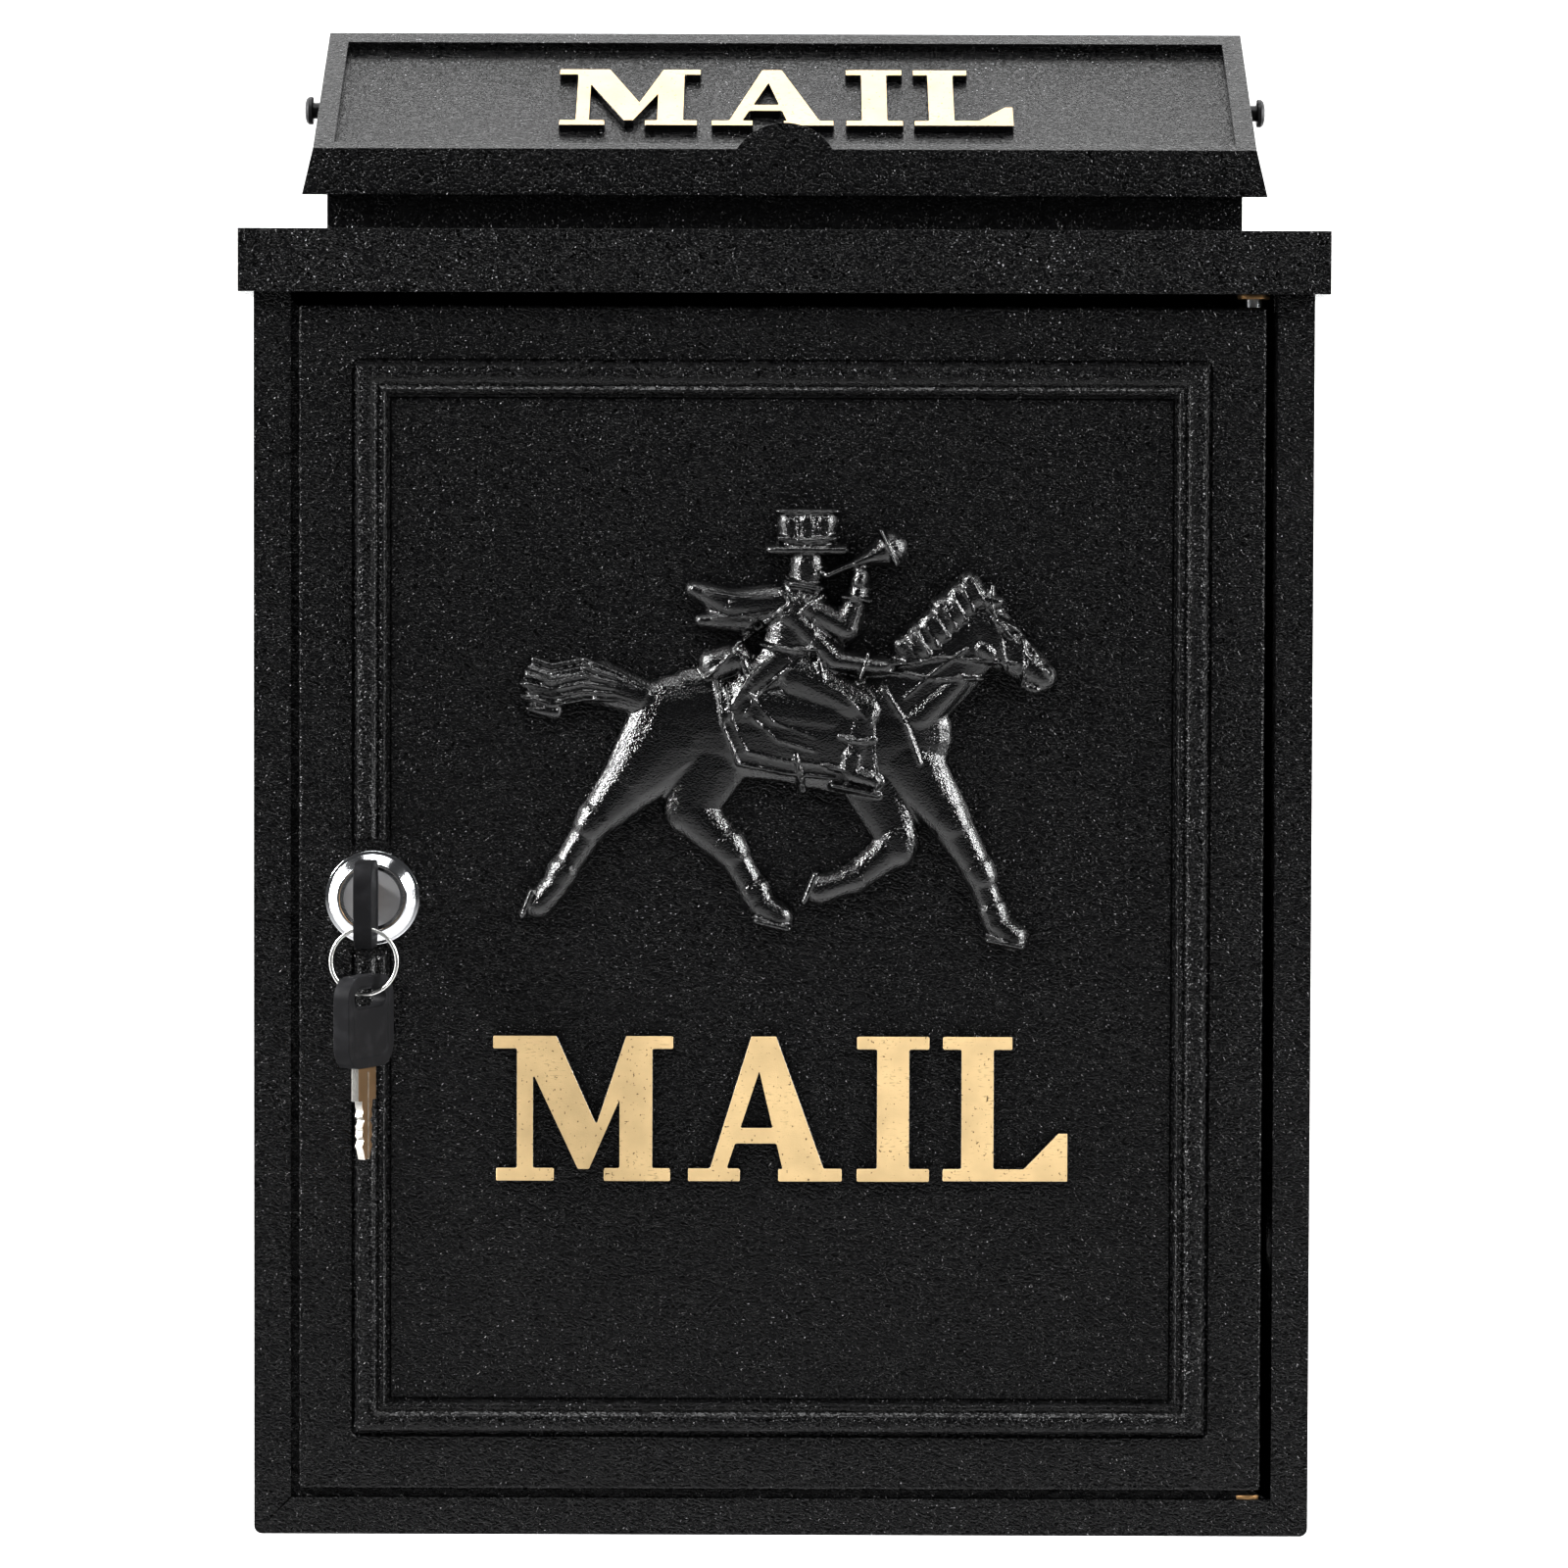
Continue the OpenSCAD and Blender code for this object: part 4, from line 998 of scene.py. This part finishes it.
        def at(i):
            part = i / steps
            return x0 + (x1 - x0) * part, up0 + (up1 - up0) * part, 1.2 + 3.4 * part ** 3

        bell = (x1 + 1.4, up1 - 4.0, 1.0, x1 - 2.4, up1 + 4.4, 1.0, 6.0)
        return [at(i) + at(i + 1) + (5.4,) for i in range(steps)] + [bell]

    def limb(self, x0, up0, r0, x1, up1, r1, rise):
        """A tapering limb with round ends, as high as its rise at its thicker end."""
        ends = []
        for x, up, radius in ((x0, up0, r0), (x1, up1, r1)):
            height = self.end_height(rise, radius, r0, r1)
            bpy.ops.object.select_all(action="DESELECT")
            bpy.ops.mesh.primitive_uv_sphere_add(
                segments=16, ring_count=9, radius=MM, scale=(radius, height, radius),
                location=self.origin + Vector((x, 0, up)) * MM)
            ends.append(bpy.context.object)
        for end in ends:
            end.select_set(True)
        bpy.ops.object.join()
        piece = named("limb")
        with editing(piece):
            bpy.ops.mesh.select_all(action="SELECT")
            bpy.ops.mesh.convex_hull()
        return piece


class MAILBOX_OT_lock(bpy.types.Operator):
    """Model the cam lock: barrel, bezel, plug, cam and nut"""

    bl_idname = "mailbox.lock"
    bl_label = "Lock"

    def execute(self, context):
        length = (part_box("lock_body")[1].y - FRONT) / MM
        pitch = sizes().thread_pitch / MM
        thread = [(9.25 - 0.45 * (i % 2), -length + 0.6 + 0.5 * pitch * i)
                  for i in range(int(2 * (length - 2.6) / pitch))]
        body = turned("lock_body_finished", [(7.0, -length), (8.8, -length)] + thread + [
            (9.2, -1.9), (9.2, 0), (11.55, 0), (11.55, 0.75), (11.45, 1.0), (11.2, 1.15),
            (10.7, 1.25), (10.5, 1.35), (8.6, 3.0), (8.4, 3.15), (8.2, 3.2), (8.0, 3.17),
            (7.84, 3.0), (7.8, 2.8), (7.8, 1.8), (7.0, 1.8)
        ], LOCK, OUT, 96)
        smoothed(body, 24)
        stands_for(body, "lock_body")
        edge = sizes().metal_edge
        finished_copy("lock_plug", edge, 2, finish="satin chrome")
        finished_copy("lock_cam", 2 * edge, 2)
        finished_copy("lock_nut", 2 * edge, 2)
        finished_copy("lock_washer", edge, 2)
        finished_copy("cam_washer", edge, 2)
        finished_copy("cam_screw", 2 * edge, 2)
        return {"FINISHED"}


class MAILBOX_OT_keys(bpy.types.Operator):
    """Model the key in the lock, the split ring and the spare key"""

    bl_idname = "mailbox.keys"
    bl_label = "Keys"

    def execute(self, context):
        head_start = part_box("key_head")[1].y
        in_lock = (Matrix.Translation((LOCK.x, head_start, LOCK.z))
                   @ Matrix.Rotation(math.pi / 2, 4, "X"))
        spare = middle("spare_key_head")
        spare.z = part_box("spare_key_head")[0].z
        hanging = Matrix.Translation(spare) @ Matrix.Rotation(self.spare_turn(), 4, "Z")
        head = self.head()
        blade = self.blade(in_lock)
        for part, name in ((head, "head"), (blade, "blade")):
            spare_part = duplicate(part, "spare_key_%s_finished" % name)
            moved(part, in_lock)
            moved(spare_part, hanging)
            stands_for(part, "key_" + name)
            stands_for(spare_part, "spare_key_" + name)
        self.ring()
        return {"FINISHED"}

    def spare_turn(self):
        """How far the spare key's broad face is turned from looking along x."""
        face = max((face for face in frame["nodes"]["spare_key_blade"].data.polygons
                    if abs(face.normal.z) < 0.01 and face.normal.x > 0),
                   key=lambda face: face.area)
        return math.atan2(face.normal.y, face.normal.x)

    def head(self):
        """A moulded head: rounded outline, sunk panels on both faces, a slot for the ring."""
        low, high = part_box("key_head")
        thick, wide, long = (high.x - low.x), (high.z - low.z), (high.y - low.y)
        head = block("key_head_finished", (-thick / 2, -wide / 2, 0), (thick / 2, wide / 2, long))
        with editing(head):
            pick(head, "EDGE", lambda edge: abs(edge.verts[0].co.x - edge.verts[1].co.x) > thick / 2)
            bpy.ops.mesh.bevel(offset=5.4 * MM, segments=8, affect="EDGES")
            for side in (-1, 1):
                pick_largest(head, Vector((side, 0, 0)))
                bpy.ops.mesh.inset(thickness=2.3 * MM)
                bpy.ops.mesh.inset(thickness=0.35 * MM, depth=-0.35 * MM)
        rim, width = 3.2 * MM, 4.5 * MM
        slot_at = long - rim - width / 2
        reach = wide / 2 - rim - width / 2
        slot = block("slot", (-thick, -reach, slot_at - width / 2), (thick, reach, slot_at + width / 2))
        for side in (-1, 1):
            centre = Vector((0, side * reach, slot_at))
            joined_by(slot, rod("slot end", centre - RIGHT * thick, centre + RIGHT * thick,
                                width / 2, 32), "UNION")
        joined_by(head, slot)
        rounded(head, 0.75 * MM, 3, 40)
        smoothed(head, 40)
        return head

    def blade(self, in_lock):
        """The blade, with a milled groove along each flat."""
        blade = moved(cad_copy("key_blade", "key_blade_finished"), in_lock.inverted())
        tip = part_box("key_head")[1].y - FRONT - 14.8 * MM
        for side in (-1, 1):
            near, far = side * 0.62 * MM, side * 2 * MM
            groove = block("groove", (min(near, far), -0.75 * MM, tip - 8 * MM),
                           (max(near, far), 0.75 * MM, -1.2 * MM))
            joined_by(blade, groove)
        rounded(blade, 0.14 * MM, 2, 35)
        smoothed(blade, 30)
        blade.data.materials.append(finish_of("key nickel"))
        blade.data.materials.append(finish_of("worn brass"))
        with editing(blade):
            pick(blade, "FACE", lambda face: abs(face.normal.x) > 0.9)
            blade.active_material_index = 1
            bpy.ops.object.material_slot_assign()
        return blade

    def ring(self):
        """A split ring of two flat turns of spring wire."""
        low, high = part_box("key_ring")
        centre = middle("key_ring")
        wire, thick, pitch = 0.9 * MM, 0.6 * MM, 0.62 * MM
        radius = (high.x - low.x) / 2 - 0.65 * MM
        bpy.ops.object.select_all(action="DESELECT")
        bpy.ops.mesh.primitive_circle_add(vertices=16, radius=wire / 2, location=(radius, 0, 0))
        ring = named("key_ring_finished")
        with editing(ring):
            bpy.ops.mesh.select_all(action="SELECT")
            bpy.ops.transform.resize(value=(1, thick / wire, 1))
        tool = ring.modifiers.new("Turns", "SCREW")
        tool.axis = "Y"
        tool.angle = math.tau
        tool.screw_offset = pitch
        tool.iterations = 2
        tool.steps = tool.render_steps = 72
        tool.use_merge_vertices = True
        tool.merge_threshold = 0.0001 * MM
        bpy.ops.object.modifier_apply(modifier=tool.name)
        with editing(ring):
            bpy.ops.mesh.select_mode(type="VERT")
            bpy.ops.mesh.select_non_manifold()
            bpy.ops.mesh.edge_face_add()
            bpy.ops.mesh.fill_holes(sides=0)
            bpy.ops.mesh.select_all(action="SELECT")
            bpy.ops.mesh.normals_make_consistent(inside=False)
        start = math.radians(215)
        moved(ring, Matrix.Translation(centre - Vector((0, pitch, 0)))
              @ Matrix.Rotation(start, 4, "Y"))
        smoothed(ring, 50)
        stands_for(ring, "key_ring")


class MAILBOX_OT_hardware(bpy.types.Operator):
    """Finish the screws, nuts, washers, pins, bushes and wafers"""

    bl_idname = "mailbox.hardware"
    bl_label = "Hardware"

    def execute(self, context):
        edge = sizes().metal_edge
        finished_copy("lower_hinge_pin", 3 * edge, 3)
        finished_copy("upper_hinge_pin", 3 * edge, 3)
        finished_copy("casting_screws", 3 * edge, 3)
        for node in ("lower_hinge_bush", "upper_hinge_bush", "lid_pivot_nuts",
                     "lid_pivot_washers", "lock_wafers"):
            finished_copy(node, edge, 2)
        return {"FINISHED"}


OPERATORS = [MAILBOX_OT_stage, MAILBOX_OT_housing, MAILBOX_OT_lid, MAILBOX_OT_door,
             MAILBOX_OT_capitals, MAILBOX_OT_rider, MAILBOX_OT_lock, MAILBOX_OT_keys,
             MAILBOX_OT_hardware]


class MAILBOX_PT_panel(bpy.types.Panel):
    """Sizes, colours and the steps that build the mailbox"""

    bl_label = "Wall Mounted Mailbox"
    bl_idname = "MAILBOX_PT_panel"
    bl_space_type = "VIEW_3D"
    bl_region_type = "UI"
    bl_category = "Mailbox"

    def draw(self, context):
        for group in (context.scene.mailbox_sizes, context.scene.mailbox_colours):
            column = self.layout.column()
            for name in group.bl_rna.properties.keys():
                if name not in ("rna_type", "name"):
                    column.prop(group, name)
        for operator in OPERATORS:
            self.layout.operator(operator.bl_idname)


CLASSES = [MailboxSizes, MailboxColours] + OPERATORS + [MAILBOX_PT_panel]


def register():
    for cls in CLASSES:
        bpy.utils.register_class(cls)
    bpy.types.Scene.mailbox_sizes = PointerProperty(type=MailboxSizes)
    bpy.types.Scene.mailbox_colours = PointerProperty(type=MailboxColours)


def unregister():
    del bpy.types.Scene.mailbox_sizes
    del bpy.types.Scene.mailbox_colours
    for cls in reversed(CLASSES):
        bpy.utils.unregister_class(cls)


def main():
    """Builds everything, in the order of the panel."""
    register()
    for operator in OPERATORS:
        module, name = operator.bl_idname.split(".")
        getattr(getattr(bpy.ops, module), name)()


if __name__ == "__main__":
    main()
